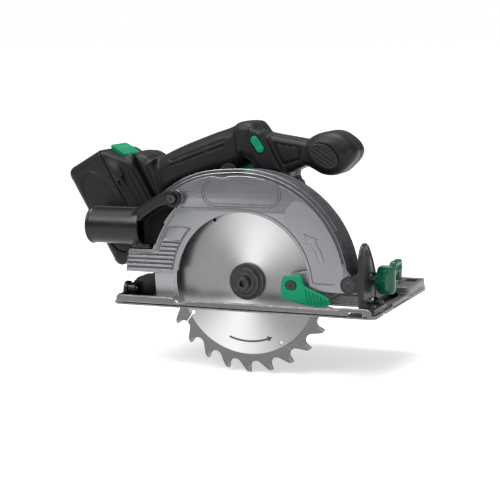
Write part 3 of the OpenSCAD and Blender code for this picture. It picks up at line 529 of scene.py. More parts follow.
MT = {
    "guard": material("guard_silver_paint", (0.205, 0.21, 0.22), 0.27, 0.82, 0.05, 0.05, 0.10, 2600, 22, wear=0.45, wearcol=(0.42, 0.43, 0.45)),
    # near-black for the hollow under the nozzle's web: painted shade, a colour that stands in for the shadow there
    "shade": material("painted_shade_black", (0.0016, 0.0016, 0.002), 0.62, 0, 0.12, 0.05, 0.15, 1800, 26, spec=0.12),
    # dark grey for the guard's rim, its ridges and the rear top edge: painted shade for faces turned away from the
    # light
    "rim": material("guard_rim_painted_shade", (0.046, 0.046, 0.052), 0.48, 0.15, 0.08, 0.06, 0.12, 2200, 24, wear=0.4, wearcol=(0.20, 0.20, 0.21), spec=0.25),
    # dark colour for thin raised beads on the guard face: painted shadow standing in for cut grooves
    "groove": material("guard_groove_shadow", (0.075, 0.076, 0.08), 0.55, 0.2, 0.1, 0.05, 0.05, 1500, 30),
    "shoe": material("shoe_grey_paint", (0.115, 0.115, 0.12), 0.36, 0.45, 0.08, 0.07, 0.14, 2200, 26, wear=0.85, wearcol=(0.42, 0.42, 0.43)),
    "lower": material("lower_guard_metal", (0.30, 0.30, 0.31), 0.36, 0.75, 0.06, 0.06, 0.08, 1800, 24, wear=0.5),
    "plastic": material("charcoal_plastic", (0.0050, 0.0053, 0.0062), 0.42, 0, 0.18, 0.06, 0.22, 2400, 34, wear=0.2, wearcol=(0.022, 0.022, 0.025), spec=0.24),
    "rubber": material("soft_grip_rubber", (0.012, 0.012, 0.0135), 0.60, 0, 0.18, 0.08, 0.35, 3000, 30, spec=0.28),
    "nozzle": material("satin_black_plastic", (0.0042, 0.0042, 0.0050), 0.34, 0, 0.14, 0.05, 0.10, 2000, 26, spec=0.30),
    "black": material("black_enamel", (0.006, 0.006, 0.007), 0.34, 0, 0.14, 0.06, 0.08, 1500, 26, wear=0.3, wearcol=(0.06, 0.06, 0.065), spec=0.35),
    "steel": material("bright_steel", (0.55, 0.56, 0.57), 0.28, 1.0, 0.08, 0.08, 0.10, 1800, 60),
    "darksteel": material("black_oxide_steel", (0.035, 0.035, 0.037), 0.38, 0.75, 0.14, 0.08, 0.12, 1900, 70, wear=0.5, wearcol=(0.22, 0.22, 0.23)),
    "carbide": material("carbide", (0.20, 0.20, 0.21), 0.34, 0.9, 0.1, 0.06, 0.12, 2500, 200),
    "gear": material("gear_steel", (0.42, 0.42, 0.43), 0.33, 1.0, 0.08, 0.07, 0.10, 1600, 70),
    "castal": material("cast_aluminium", (0.33, 0.335, 0.34), 0.48, 0.8, 0.08, 0.08, 0.30, 1500, 40),
    "lever": material("green_lever_plastic", (0.0004, 0.185, 0.082), 0.36, 0, 0.08, 0.05, 0.12, 2000, 40, wear=0.12, wearcol=(0.01, 0.32, 0.16), spec=0.16),
    "knob": material("green_knob_plastic", (0.0006, 0.075, 0.034), 0.22, 0, 0.10, 0.05, 0.10, 2000, 40, wear=0.2, wearcol=(0.01, 0.24, 0.12), spec=0.4),
    "copper": material("copper_winding", (0.45, 0.18, 0.07), 0.36, 0.9, 0.2, 0.1, 0.5, 900, 90),
    "insul": material("moulded_insulator", (0.10, 0.055, 0.03), 0.5, 0, 0.14, 0.08, 0.2, 1500, 60),
    "cell": material("cell_wrap", (0.05, 0.12, 0.26), 0.35, 0, 0.1, 0.07, 0.1, 900, 50),
    "magnet": material("ferrite_magnet", (0.06, 0.06, 0.065), 0.55, 0.2, 0.15, 0.08, 0.3, 1200, 60),
    "battery": material("battery_plastic", (0.0052, 0.0056, 0.0066), 0.40, 0, 0.16, 0.06, 0.26, 2400, 36, wear=0.25, wearcol=(0.022, 0.022, 0.025), spec=0.25),
    "label": material("label_film", (0.030, 0.031, 0.034), 0.22, 0, 0.10, 0.04, 0.05, 2500, 30, coat=0.3),
    "blade": blade_material(),
}

# carried-over CAD nodes: their shape is right, so they get a finished material
CARRY = {
    "quadrant_screws": "darksteel", "bevel_pins": "steel", "arm_rivets": "steel", "depth_pivot_bolt": "darksteel",
    "bevel_bolt": "steel", "fence_screw": "steel", "nozzle_screw": "darksteel", "gear_housing": "castal", "gear_cover": "castal",
    "gearcase_screws": "darksteel", "cap_screws": "darksteel", "handle_screws": "darksteel", "switch_module": "insul",
    "terminal_block": "insul", "motor_can": "steel", "field_magnets": "magnet", "brush_gear": "insul", "motor_bearings": "steel",
    "spindle_bearings": "steel", "guard_spring": "steel", "rotor_shaft": "steel", "armature": "copper", "commutator": "copper",
    "cooling_fan": "plastic", "pinion": "gear", "spindle": "steel", "spindle_gear": "gear", "inner_flange": "darksteel",
    "saw_blade": "blade", "carbide_tips": "carbide", "lever_screw": "darksteel", "depth_lock_bolt": "steel", "spindle_lock": "plastic",
    "battery_cells": "cell", "battery_screws": "darksteel", "depth_arm": "darksteel", "rear_pivot_bracket": "black",
    "rear_tilt_bracket": "black", "front_tilt_bracket": "black",
}
for n, k in CARRY.items():
    me = CAD[n].data
    me.materials.clear()
    me.materials.append(MT[k])

# ------------------------------------------------------------------ shoe
SX0, SX1, SY0, SY1 = -92.0, 104.0, -77.8, -27.5
outline = rrect(-125, 125, -80.5, 80.5, 7)
outline_n = [(125, -56.5), (119.4, -54), (119.4, -51), (125, -48.5)]
outl = []
for i, p in enumerate(outline):
    outl.append(p)
# the sighting notch goes into the front edge, between the lower and the upper front corner
br = [i for i, p in enumerate(outl) if p[0] > 124.9 and p[1] < 0]
outl = outl[br[-1] + 1:] + outl[:br[-1] + 1]
outl = outl + outline_n
sb = Bag()
hole = rrect(SX0, SX1, SY0, SY1, 3)
sb.add(prism([outl, hole], 0, 1.3, "z", 0.35))
left = [p for p in outline if p[0] < 0]
sb.add(prism([[(100.4, -80.5), (100.4, 80.5)] + left, [p if p[0] < 100 else (99.2, p[1]) for p in hole]], 1.0, 3, "z", 0.5))
sb.add(prism([(113.6, 80.5), (113.6, -80.5), (118, -80.5), (123, -78.4), (125, -73.5), (125, -56.5), (119.4, -54), (119.4, -51), (125, -48.5), (125, 73.5), (123, 78.4), (118, 80.5)], 1.0, 3, "z", 0.5))
# folded rim on the blade side, with its steps
rim = [(-121, 0.4), (-121, 7.6), (-119.6, 8.4), (-66, 8.4), (-63.6, 7.4), (-62.4, 4.2), (-58, 4.0), (-50, 5.6), (-40, 6.8), (92, 6.9), (94.5, 8.0), (96, 8.8), (117, 8.8), (120.5, 6.8), (121.5, 4.6), (122.2, 0.4)]
sb.add(prism([rim, rrect(100.8, 113.4, 1.35, 5.3, 0.6, 3)], -80.5, -78.1, "y", 0.55))
sb.add(tube([(x, -79.4, z - 0.1) for x, z in ch([(-119.5, 8.3), (-66, 8.3), (-63.6, 7.2), (-62.2, 4.2), (-58, 4.0), (-50, 5.5), (-40, 6.7), (92, 6.8), (94.5, 7.9), (96, 8.5), (117, 8.5), (120.4, 6.6), (121.6, 4.4)], 1, False)], 0.9, 10))
for q in ((-125, -122.2, -33, 74, 7.5), (122.2, 125, -30, 20, 6.0)):
    sb.add(block(q[0], q[1], q[2], q[3], 0.5, q[4], 0.6))
for x0, x1, zt in ((-119, -40, 7.5), (-40, 45, 4.6), (45, 119, 7.5)):
    sb.add(block(x0, x1, 77.6, 80.5, 0.5, zt, 0.6))
for x in (-60, -22, 24, 60):
    sb.add(block(x, x + 3, -24, 77.6, 2, 5.4, 0.7, 0.9))
sb.add(block(-122, 90, 10, 13, 2, 4.6, 0.7, 0.9))
# inner lip round the blade opening
sb.add(block(SX0 - 2.6, SX0 - 0.2, SY0 + 6, SY1 + 2, 2, 4.6, 0.6, 0.9))
sb.add(block(SX0, 90, SY1 + 0.3, SY1 + 2.3, 2, 4.4, 0.6, 0.9))
sb.add(block(96, 106, -27, 20, 2, 7, 0.8))
sb.add(block(-110, -76, 24, 60, 2, 8, 0.9, 3))
sb.add(block(72, 92, 30, 62, 2, 8, 0.9, 3))
# fence clamp pad with its rectangular window: a raised frame
sb.add(prism([rrect(92, 124, 22, 76, 3), rrect(109, 120, 54, 72, 1.6), circ(FNX, FNY, 3.3, 28)], 5.4, 11.5, "z", 0.8))
for x0, x1, y0, y1 in ((92, 100.3, 22, 76), (113.7, 124, 22, 52.5), (113.7, 124, 73, 76), (121, 124, 52, 74)):
    sb.add(block(x0, x1, y0, y1, 1.0, 6.0, 0.3, 1.0))
sb.add(prism(rrect(109.4, 119.6, 54.4, 71.6, 1.2), 5.2, 6.4, "z", 0.3), 1)
# near-black strip on the channel floor under the rim slot: painted shade in the slot
sb.add(block(100.7, 113.3, -77.9, 79.5, 1.2, 1.42, 0.08, 0.2), 1)
# step under the depth pivot on the blade side
sb.add(block(83.5, 95.5, -80.2, -78.4, 5, 8.6, 0.5, 0.8))
# punched scale marks beside the sighting notch
for i in range(7):
    sb.add(block(121.0, 124.0, -46 + 3.2 * i, -45.5 + 3.2 * i, 2.7, 3.35, 0.08, 0.1))
make("shoe_casting", sb, [MT["shoe"], MT["black"]], "shoe", ["shoe_plate"], 34)

# ------------------------------------------------------------------ bevel quadrant, a glossy shield with ribs and an arc slot
qp = [(-77.4, 5.9), (-78.3, 26), (-78.4, 50)] + [P(13.4, a, (-65, 50)) for a in range(172, 34, -8)] + [(-47.6, 50.6), (-41.6, 42), (-37.0, 33), (-36.8, 26), (-37.6, 5.9)]
brr = math.hypot(BOLT_Y - BY, BOLT_Z - BVZ)
ba = math.degrees(math.atan2(BOLT_Z - BVZ, BOLT_Y - BY))
slotq = [P(brr + 3.3, ba + 46 * i / 14, (BY, BVZ)) for i in range(15)] + [P(3.3, ba + 46 + 180 * i / 8, P(brr, ba + 46, (BY, BVZ))) for i in range(1, 8)] + [P(brr - 3.3, ba + 46 - 46 * i / 14, (BY, BVZ)) for i in range(15)] + [P(3.3, ba + 180 + 180 * i / 8, P(brr, ba, (BY, BVZ))) for i in range(1, 8)]
qb = Bag()
qb.add(prism([qp, slotq, circ(BY, BVZ, 2.6, 24)], 109, 112, "x", 0.7, 3))
qb.add(tube([(112.0, y, z) for y, z in ch([(-75.4, 14), (-76.2, 30), (-76.4, 50)] + [P(11.4, a, (-65, 50)) for a in range(172, 34, -10)] + [(-49.4, 49.6), (-43.4, 41), (-39.0, 33), (-39.2, 14)], 1, False)], 0.8, 10))
for y, z0, z1 in ((-72.4, 12, 54), (-68.4, 36, 57), (-64.4, 38, 58), (-60.4, 39, 57), (-56.4, 39, 54)):
    qb.add(tube([(112.0, y, z0), (112.0, y, z1)], 0.6, 8))
qb.add(block(109, 123, -77, -38, 5.8, 8.4, 0.6))
qb.add(block(114, 123, -77, -38, 3, 6, 0.5))
for y0, y1, z1 in ((-77, -74, 16), (-41, -38, 13)):
    qb.add(prism([(111.6, 6), (119, 6), (118.6, 9), (113, z1), (111.6, z1)], y0, y1, "y", 0.5))
make("bevel_shield", qb, MT["black"], "shoe", ["bevel_quadrant"], 30)

# ------------------------------------------------------------------ wing knobs
def wing(name, f, plate, hub, body, node, top):
    d = smin(plate(f), hub(f), 2.2)
    make(name, f.mesh(top(f, d)), MT["knob"], body, [node], 40)


F = Field(112.6, 132, BOLT_Y - 8, BOLT_Y + 8, BOLT_Z - 14, BOLT_Z + 14, 0.42)
pl = F.ext(F.poly(rrect(114.6, 130.7, BOLT_Z - 12.6, BOLT_Z + 12.6, 4.6)), BOLT_Y - 3.3, BOLT_Y + 3.3, 2.2)
spine = F.ext(np.hypot(F.X - 121.5, F.Y - BOLT_Y) - 4.6, BOLT_Z - 9.5, BOLT_Z + 9.5, 3.5, "z")
hub = F.cyl(BOLT_Y, BOLT_Z, 113.4, 124, 6.2, 0.8, "x")
dish = np.sqrt(((F.X - 123) / 1.0) ** 2 + ((np.abs(F.Y - BOLT_Y) - 7.2) / 0.8) ** 2 + ((np.abs(F.Z - BOLT_Z) - 7.6) / 1.25) ** 2) - 5.0
D = smin(smin(pl, hub, 2.0), spine, 2.0)
D = np.maximum(D, -F.cyl(BOLT_Y, BOLT_Z, 110, 120.5, 3.05, 0, "x"))
make("bevel_wing_knob", F.mesh(D), MT["knob"], "bevel_clamp", ["bevel_knob"], 40)
F = Field(FNX - 8, FNX + 8, FNY - 14, FNY + 14, 12.6, 33, 0.42)
pl = F.ext(F.poly(rrect(FNY - 12, FNY + 12, 16, 32, 4.6), "yz"), FNX - 3.3, FNX + 3.3, 2.2, "x")
spine = F.ext(np.hypot(F.X - FNX, F.Z - 23) - 4.6, FNY - 9, FNY + 9, 3.5, "y")
hub = F.cyl(FNX, FNY, 13.6, 25, 5.6, 0.8, "z")
dish = np.sqrt(((np.abs(F.X - FNX) - 7.0) / 0.8) ** 2 + ((np.abs(F.Y - FNY) - 7.6) / 1.25) ** 2 + (F.Z - 25) ** 2) - 5.0
D = smin(smin(pl, hub, 2.0), spine, 2.0)
D = np.maximum(D, -F.cyl(FNX, FNY, 10, 23, 3.05, 0, "z"))
make("fence_wing_knob", F.mesh(D), MT["knob"], "fence_clamp", ["fence_knob"], 40)

# ------------------------------------------------------------------ upper guard
gb = Bag()
face = [P(63, -2.5), (84, 18.9), (97.6, 19.6)] + [P(6.0, a, (PVX, PVZ)) for a in range(-75, 80, 15)] + [(94.9, 39)] + arc(95.3, 10.5, 101, 60) + [(-30.5, 117.4), (-42.2, 115.0), (-55.0, 110.4), (-66, 104.6), (-75.0, 98.4), (-74, 96.0)] + arc(90.3, 133, 162.5, 22) + [(-113.8, 49.3), (-116.2, 38), (-117.4, 28.4), (-71, 28.4), (-67.6, 30.2)] + arc(63, 172.2, -1.6, 90)
gb.add(prism(face, -66.5, -64, "y", 0.55, 3))
# rim and lip, in the dark rim colour, which is painted shade
gb.add(sweep([(95.0, -66.1), (98.0, -66.1), (98.45, -65.6), (98.45, -34.3), (97.8, -33.5), (95.7, -33.5), (95, -34.2)], 3.2, 125, 120), 2)
gb.add(sweep([(98.2, -64.5), (98.7, -64.2), (100.7, -63.7), (101.3, -63.2), (101.3, -62.1), (100.8, -61.6), (98.2, -61.2)], 30, 89, 68), 2)
gb.add(sweep([(98.2, -64.6), (98.7, -63.6), (99, -63.2), (99, -62.1), (98.5, -61.4), (98.2, -61.2)], 3.2, 30.4, 28), 2)
def curve(pts, k=8):
    q, o = [np.array(v, float) for v in pts], []
    for i in range(1, len(q) - 2):
        a, b, c, d = q[i - 1:i + 3]
        for t in np.arange(k) / k:
            o.append(tuple(0.5 * (2 * b + (c - a) * t + (2 * a - 5 * b + 4 * c - d) * t * t + (3 * b - a - 3 * c + d) * t ** 3)))
    return o + [tuple(q[-2]), tuple(q[-1])]


top_out = curve([P(101.2, 84), P(101.2, 88), P(101.2, 92), (-19.5, 123.2), (-31.0, 122.1), (-43.4, 119.7), (-56.1, 115.5), (-66.1, 110.3), (-76.1, 103.8), (-81.0, 100)])
top_mid = curve([P(98.4, 84), P(98.4, 88), P(98.4, 92), (-19.5, 120.4), (-30.4, 119.4), (-42.9, 117.0), (-55.4, 112.6), (-65.6, 107.1), (-75.8, 100.6)])
for r, y, a0, a1, rest, t in ((98.35, -65.9, 3.4, 87.2, top_mid, 0.34), (101.15, -63.3, 30, 87.2, top_out, 0.34), (95.2, -66.4, 6, 98, [], 0.3)):
    gb.add(tube([(AX + r * math.cos(math.radians(q)), y, AZ + r * math.sin(math.radians(q))) for q in np.linspace(a0, a1, 90)] + [(x, y, z) for x, z in rest], t, 8))
# ridges that run round the rim, closest together at the front
for y, a1 in ((-58.6, 108), (-54.6, 100), (-50.6, 92), (-46.6, 80), (-42.6, 70), (-38.6, 62)):
    gb.add(tube([(AX + 98.6 * math.cos(math.radians(a)), y, AZ + 98.6 * math.sin(math.radians(a))) for a in np.linspace(4.5, a1, 80)], 0.62, 8), 2)
gb.add(tube([(AX + 98.5 * math.cos(math.radians(a)), -34.6, AZ + 98.5 * math.sin(math.radians(a))) for a in np.linspace(4, 124, 90)], 0.8, 8), 2)
# the rear top edge runs on from the lip to the nozzle's lug
rto = top_out
rti = [(-78.4, 96.8), (-74.2, 98.6), (-64.6, 104.9), (-55.0, 110.0), (-42.2, 114.6), (-28.6, 117.2), P(96.6, 94), P(96.6, 88)]
gb.add(prism(rto + rti, -63.6, -61.4, "y", 0.5), 2)
gb.add(prism(top_mid + [(-80.0, 98.4)] + rti, -66.1, -42.6, "y", 0.5), 2)
for r0, r1, a0, a1 in ((89.2, 91.5, 134, 146), (89.2, 91.5, 160, 163)):
    gb.add(sweep([(r0, -66), (r1, -66), (r1, -42.6), (r0, -42.6)], a0, a1, 10))
gb.add(prism([(-113.8, 49.3), (-92, 49.3), (-90.5, 46.8), (-112, 46.8), (-115, 28.4), (-117.4, 28.4)], -66.4, -42.6, "y", 0.4))
gb.add(prism([(-113.8, 49.3), (-90, 49.3), (-91.4, 28.4), (-117.4, 28.4)], -45, -42.6, "y", 0.4))
gb.add(prism(arc(96.3, 1, 128, 60) + arc(86, 128, 178, 24) + arc(31, 178, 1, 60), -40, -36.4, "y", 0.5))
gb.add(sweep([(89.6, -45), (96.4, -45), (96.4, -36.6), (89.6, -36.6)], 112, 128, 8))
# pivot boss in the front ears
gb.add(lathe([(-66.4, 4.1), (-66.4, 5.4), (-65.9, 5.8), (-48, 5.8), (-47.5, 5.4), (-47.5, 4.1)], (PVX, PVZ), "y", 40))
gb.add(lathe([(-35.4, 4.1), (-35.4, 5.8), (-33.8, 5.8), (-33.8, 4.1)], (PVX, PVZ), "y", 40))
gb.add(prism([(88.6, 24), (97.4, 19.9), (93.9, 22), (92, 27), (93.9, 33), (93, 44), (89.4, 44)], -66.3, -34, "y", 0.4))
# lug pad under the nozzle screw
gb.add(prism([circ(-66, 97, 7.5, 40), circ(-66, 97, 2.2, 20)], -68.3, -66.2, "y", 0.4))


# embossed work on the face: raised beads in the dark groove colour, painted shadow standing in for cut grooves
def stad(x0, x1, z0, z1, n=14):
    r = (z1 - z0) / 2
    zc = (z0 + z1) / 2
    return [P(r, -90 + 180 * i / n, (x1 - r, zc)) for i in range(n + 1)] + [P(r, 90 + 180 * i / n, (x0 + r, zc)) for i in range(n + 1)]


FY = -66.52
gb.add(line(stad(-40.2, 35.0, 90.9, 114.5), FY, 0.58, True, 10), 1)
gb.add(line(stad(-37.8, 32.6, 93.3, 112.1), FY, 0.5, True, 8), 1)
gb.add(line(ch([(-70, 103.6), (-55, 103.3), (-40.8, 102.6)], 1, False), FY, 0.5), 1)
gb.add(line(ch([(-61.6, 88.9), (-27.4, 89.2), (-3.4, 89.1), (9, 88.2), (15.5, 86.0)], 1, False) + arc(66.2, 72, 4, 50)[1:] + [(66, 26.2), (83.5, 26.1)], FY, 0.6), 1)
gb.add(line([(-115.2, 46.6)] + [(-91.5, 46.6)] + arc(87.8, 162, 138, 20), FY, 0.5), 1)
# ribbed panel behind the blade, on a darker ground
ground = arc(84.6, 146, 164, 14) + [(-114.6, 44.8), (-116.6, 30.0), (-72.0, 30.0)] + arc(69.0, 172.6, 137, 24)
gb.add(prism(ground, -66.72, -66.1, "y", 0.12), 2)
gb.add(prism(arc(84.0, 146, 154, 8) + arc(69.6, 149.5, 137, 10), -67.1, -66.2, "y", 0.3))
for z in np.arange(30.9, 60, 3.95):
    dz = z - AZ
    xr = AX - math.sqrt(69.0 ** 2 - dz * dz)
    xl = AX - math.sqrt(85.0 ** 2 - dz * dz) if z > 45.5 else -114.2 - (44 - z) * 0.16
    gb.add(prism(rrect(xl, xr, z - 1.05, z + 1.05, 1.0, 4), -67.1, -66.0, "y", 0.45, 2))
# dark bead round the ribbed panel: painted groove shadow
gb.add(line(arc(85.8, 163, 146, 14) + ch([(-72.2, 70.8), (-62, 71.5), (-51.4, 70.2)], 1, False) + arc(68.2, 136, 172.6, 24), FY, 0.6), 1)
# direction arrow, a raised land with a dark outline bead, painted shadow along the land's edge
arrow = [(56.3, 69.3), (69.2, 65.1), (66.2, 63.8), (72.0, 54.5), (74.5, 45.3), (69.9, 44.6), (67.2, 53.2), (61.8, 61.4), (59.2, 60.0)]
gb.add(prism(arrow, -67.06, -66.2, "y", 0.2))
gb.add(line(arrow, -66.82, 0.42, True), 1)
# raised arc land next to the lip
bulge = [(66.8, 0.02), (69.5, 0.16), (75, 0.28), (82, 0.32), (89, 0.24), (93, 0.1), (94.9, 0.02)]
bv, bf = [], []
for i, a in enumerate(np.linspace(4.5, 66, 72)):
    t = min(1.0, (66 - a) / 34.0)
    t = t * t * (3 - 2 * t)
    for r, h in bulge:
        x, z = P(r, a)
        bv.append((x, -66.44 - h * t - 0.08 * t, z))
n = len(bulge)
for i in range(71):
    for j in range(n - 1):
        bf.append((i * n + j, i * n + j + 1, (i + 1) * n + j + 1, (i + 1) * n + j))
u, v, w = [np.array(bv[k]) for k in bf[0][:3]]
if np.cross(v - u, w - u)[1] > 0:
    bf = [f[::-1] for f in bf]
gb.add((bv, bf))
make("upper_guard_casting", gb, [MT["guard"], MT["groove"], MT["rim"]], "saw_body", ["upper_guard"], 34)

# ------------------------------------------------------------------ lower guard and its lever
lb = Bag()
lb.add(sweep([(66, -62.2), (66.3, -62.5), (87.2, -62.5), (88, -61.7), (88, -43.3), (87.3, -42.6), (22, -42.6), (22, -44), (86.4, -44), (86.4, -61), (66.3, -61), (66, -61.3)], 8, 193, 150))
tab = arc(68, -6, 13, 14) + arc(40, 13, -6, 10)
lb.add(prism([tab, circ(45.5, 24.4, 2.5, 20)], -62.5, -61, "y", 0.35))
lb.add(lathe([(-44, 20.05), (-44, 23.9), (-43.5, 24.4), (-41.1, 24.4), (-40.6, 23.9), (-40.6, 20.05)], (AX, AZ), "y", 72))
lb.add(lathe([(-67.2, 2.5), (-67.2, 5.5), (-66.7, 6), (-61, 6), (-61, 2.5)], (45.5, 24.4), "y", 40))
lb.add(line(arc(68.6, 9, 192, 120), -62.45, 0.55))
make("lower_guard_shell", lb, MT["lower"], "lower_guard", ["lower_guard"], 34)

lev = ch([(38.0, 31.8), (40.5, 33.0), (54.2, 33.9), (55.6, 33.0), (56.4, 26.4), (58.6, 23.4), (70, 19.0), (80.0, 14.4), (81.0, 12.6), (80.4, 9.0), (78, 7.4), (73.4, 6.4), (62, 6.9), (53, 8.2), (39, 11.6), (36.0, 13.6), (35.6, 17), (36.2, 27)], 1)
F = Field(34, 83, -74, -65.4, 4, 36, 0.36)
d2 = F.poly(lev)
D = F.ext(d2, -71.4, -67.25, 1.5)
D = smax(D, -F.ext(np.hypot((F.X - 45.5) / 1.15, F.Z - 24.4) - 4.6, -76, -69.25, 0.2), 0.6)
D = np.maximum(D, -F.cyl(45.5, 24.4, -76, -60, 2.52, 0))
# raised border and thumb ribs
rb = np.abs(((F.X - 59.0 + 0.25 * (F.Z - 14)) % 3.2) - 1.6) - 0.8
rib = np.maximum(np.maximum(rb, d2 + 2.0), np.maximum(59 - F.X, F.X - 78))
D = smax(D, -F.ext(rib, -76, -70.4, 0.1), 0.4)
make("guard_thumb_lever", F.mesh(D), MT["lever"], "lower_guard", ["guard_lever"], 45)

# ------------------------------------------------------------------ blade clamping parts
fb = Bag()
fb.add(lathe([(-53.3, 4.3), (-53.3, 16.2), (-53.6, 16.5), (-56.2, 16.5), (-56.8, 16.0), (-57.0, 13.0), (-58.9, 12.6), (-59.4, 12.0), (-59.4, 4.3)], (AX, AZ), "y", 96))
for k in range(2):
    a = math.radians(35 + 180 * k)
    fb.add(block(AX + 9.6 * math.cos(a) - 1.6, AX + 9.6 * math.cos(a) + 1.6, -59.9, -59.2, AZ + 9.6 * math.sin(a) - 1.1, AZ + 9.6 * math.sin(a) + 1.1, 0.1, 0.2))
make("outer_clamp_flange", fb, MT["darksteel"], "blade", ["outer_flange"], 30)
hexr = [(-62.5, 2.85)]
bb = Bag()
bb.add(lathe([(-60.8 + 1.4, 0), (-59.4, 8.2), (-59.7, 8.6), (-60.4, 8.6), (-60.9, 8.1), (-61.0, 6.1), (-65.6, 5.8), (-66.4, 5.0), (-66.4, 3.1), (-62.8, 2.8), (-62.8, 0)], (AX, AZ), "y", 72))
bb.add(lathe([(-59.5, 0), (-59.5, 3.96), (-42, 3.96), (-42, 0)], (AX, AZ), "y", 40))
make("arbor_bolt", bb, MT["darksteel"], "blade", ["blade_bolt"], 30)

# ------------------------------------------------------------------ dust nozzle
F = Field(-160, -56, -78.5, -40, 48, 108, 0.7)
hood2 = F.poly(ch([(-66, 104.2), (-74, 102.8), (-80, 101), (-92, 92.5), (-106, 84), (-110, 66), (-111, 52), (-111, 50.6), (-60, 50.6), (-60, 90)], 1))
circle = np.hypot(F.X - AX, F.Z - AZ) - 91.8
tubeo = F.cyl(-59, 69, -154.6, -101, 16.5, 1.2, "x")
fin = F.box(-152, -100, -60.2, -57.6, 80, 86.6, 0.9)
tubeo = smin(tubeo, fin, 1.0)
hoodo = F.ext(hood2, -60.5, -43, 1.2)
D = smin(tubeo, hoodo, 7.0)
lip = np.hypot(F.X + 152.6, np.hypot(F.Y + 59, F.Z - 69) - 15.8) - 1.5
D = smin(D, lip, 1.2)
inner = F.cyl(-59, 69, -175, -100, 14.2, 0.3, "x")
hin = F.ext(hood2 + 1.7, -58.8, -44.6, 1.0)
D = smax(D, -smin(inner, hin, 4.0), 0.6)
D = np.maximum(D, -circle)
# screw lug standing off the guard, tied in by a curved web
lug = F.cyl(-66, 97, -74, -68.5, 7.8, 1.0)
web = F.ext(F.poly(ch([(-64, 104.6), (-79, 101.6), (-97, 90.5), (-107, 83), (-110, 72), (-108, 56), (-105, 52), (-103.4, 60), (-102.5, 70), (-99, 77), (-90, 83.5), (-78, 90.5), (-66, 91)], 2)), -71.4, -56, 1.4)
foot_ = F.ext(F.poly([(-110, 50.6), (-110, 54), (-92, 54), (-92, 50.6)]), -68.4, -50, 0.8)
D = smin(smin(D, smin(lug, web, 2.5), 2.0), foot_, 2.0)
D = np.maximum(D, -inner)
D = smax(D, -F.cyl(-66, 97, -80, -72.9, 4.6, 0.2), 0.4)
D = np.maximum(D, -F.cyl(-66, 97, -80, -60, 2.3, 0))
D = np.maximum(D, -np.maximum(F.ext(np.hypot(F.X + 66, F.Z - 97) - 7.7, -68.6, -60, 0), -9))
nv, nf = F.mesh(D)
cen = np.array([np.mean([nv[i] for i in f], axis=0) for f in nf])
# faces of the recessed plate right of the tube get the near-black material: painted shade in the hollow beneath the web
shade_faces = (cen[:, 1] > -63.5) & (cen[:, 1] < -57.0) & (cen[:, 0] > -101.2)
nb_ = Bag()
nb_.add((nv, [f for f, q in zip(nf, shade_faces) if not q]), 0)
nb_.add((nv, [f for f, q in zip(nf, shade_faces) if q]), 1)
make("dust_spout", nb_, [MT["nozzle"], MT["shade"]], "saw_body", ["dust_nozzle"], 42)

# ------------------------------------------------------------------ motor housing and end cap
F = Field(MX - 37, MX + 37, -19, 63, MZ - 37, MZ + 37, 0.85)
R = np.hypot(F.X - MX, F.Z - MZ)
TH = np.degrees(np.arctan2(F.Z - MZ, F.X - MX)) % 360
outr = F.ext(R - 33.6, -17, 61.85, 1.2)
flut = (np.abs(((TH) % 10) - 5) - 2.0) * R * math.pi / 180
ribs = F.ext(np.maximum(np.maximum(R - 34.5, -(flut) * -1.0), 30 - R), 4, 56, 1.0)
D = smin(outr, ribs, 0.8)
for a0, t0, t1 in ((50, -6, 2), (230, 34, 52)):
    for k in range(7):
        a = math.radians(a0 + 12 * k if a0 == 50 else a0 + 12 * k)
        dx, dz = (F.X - MX) * math.cos(a) + (F.Z - MZ) * math.sin(a), -(F.X - MX) * math.sin(a) + (F.Z - MZ) * math.cos(a)
        D = np.maximum(D, -np.maximum(np.maximum(np.abs(dz) - 1.5, 28 - dx), np.abs(F.Y - (t0 + t1) / 2) - (t1 - t0) / 2))
D = np.maximum(D, -F.cyl(MX, MZ, -18, -12.8, 33.1, 0))
D = np.maximum(D, -F.cyl(MX, MZ, -13, 64, 31.2, 0))
D = np.maximum(D, -np.maximum(F.cyl(AX, AZ, -19, 0, 18.9, 0), F.Z - (AZ + 2)))
make("motor_barrel", F.mesh(D), MT["plastic"], "saw_body", ["motor_housing"], 42)
F = Field(MX - 36, MX + 36, 60, 88, MZ - 36, MZ + 36, 0.7)
R = np.hypot(F.X - MX, F.Z - MZ)
cone = np.maximum(R - 34, (R - 34) * 0.664 + (F.Y - 78.6) * 0.747)
D = rint(cone, np.abs(F.Y - 74.05) - 11.9, 1.6)
inn = np.maximum(np.maximum(R - 31.2, (R - 31.2) * 0.664 + (F.Y - 76.4) * 0.747), F.Y - 83.2)
D = np.maximum(D, -inn)
for k in range(18):
    a = math.radians(20 * k)
    dx, dz = (F.X - MX) * math.cos(a) + (F.Z - MZ) * math.sin(a), -(F.X - MX) * math.sin(a) + (F.Z - MZ) * math.cos(a)
    D = smax(D, -rint(np.maximum(np.abs(dz) - 1.4, 28 - dx), np.abs(F.Y - 69.8) - 4.8, 0.6), 0.3)
for k in range(-2, 3):
    D = smax(D, -rint(np.abs(F.X - MX - 6 * k) - 1.3, np.maximum(np.abs(F.Z - MZ) - 14, 80 - F.Y), 0.6), 0.3)
make("motor_end_cap", F.mesh(D), MT["plastic"], "saw_body", ["motor_cap"], 42)

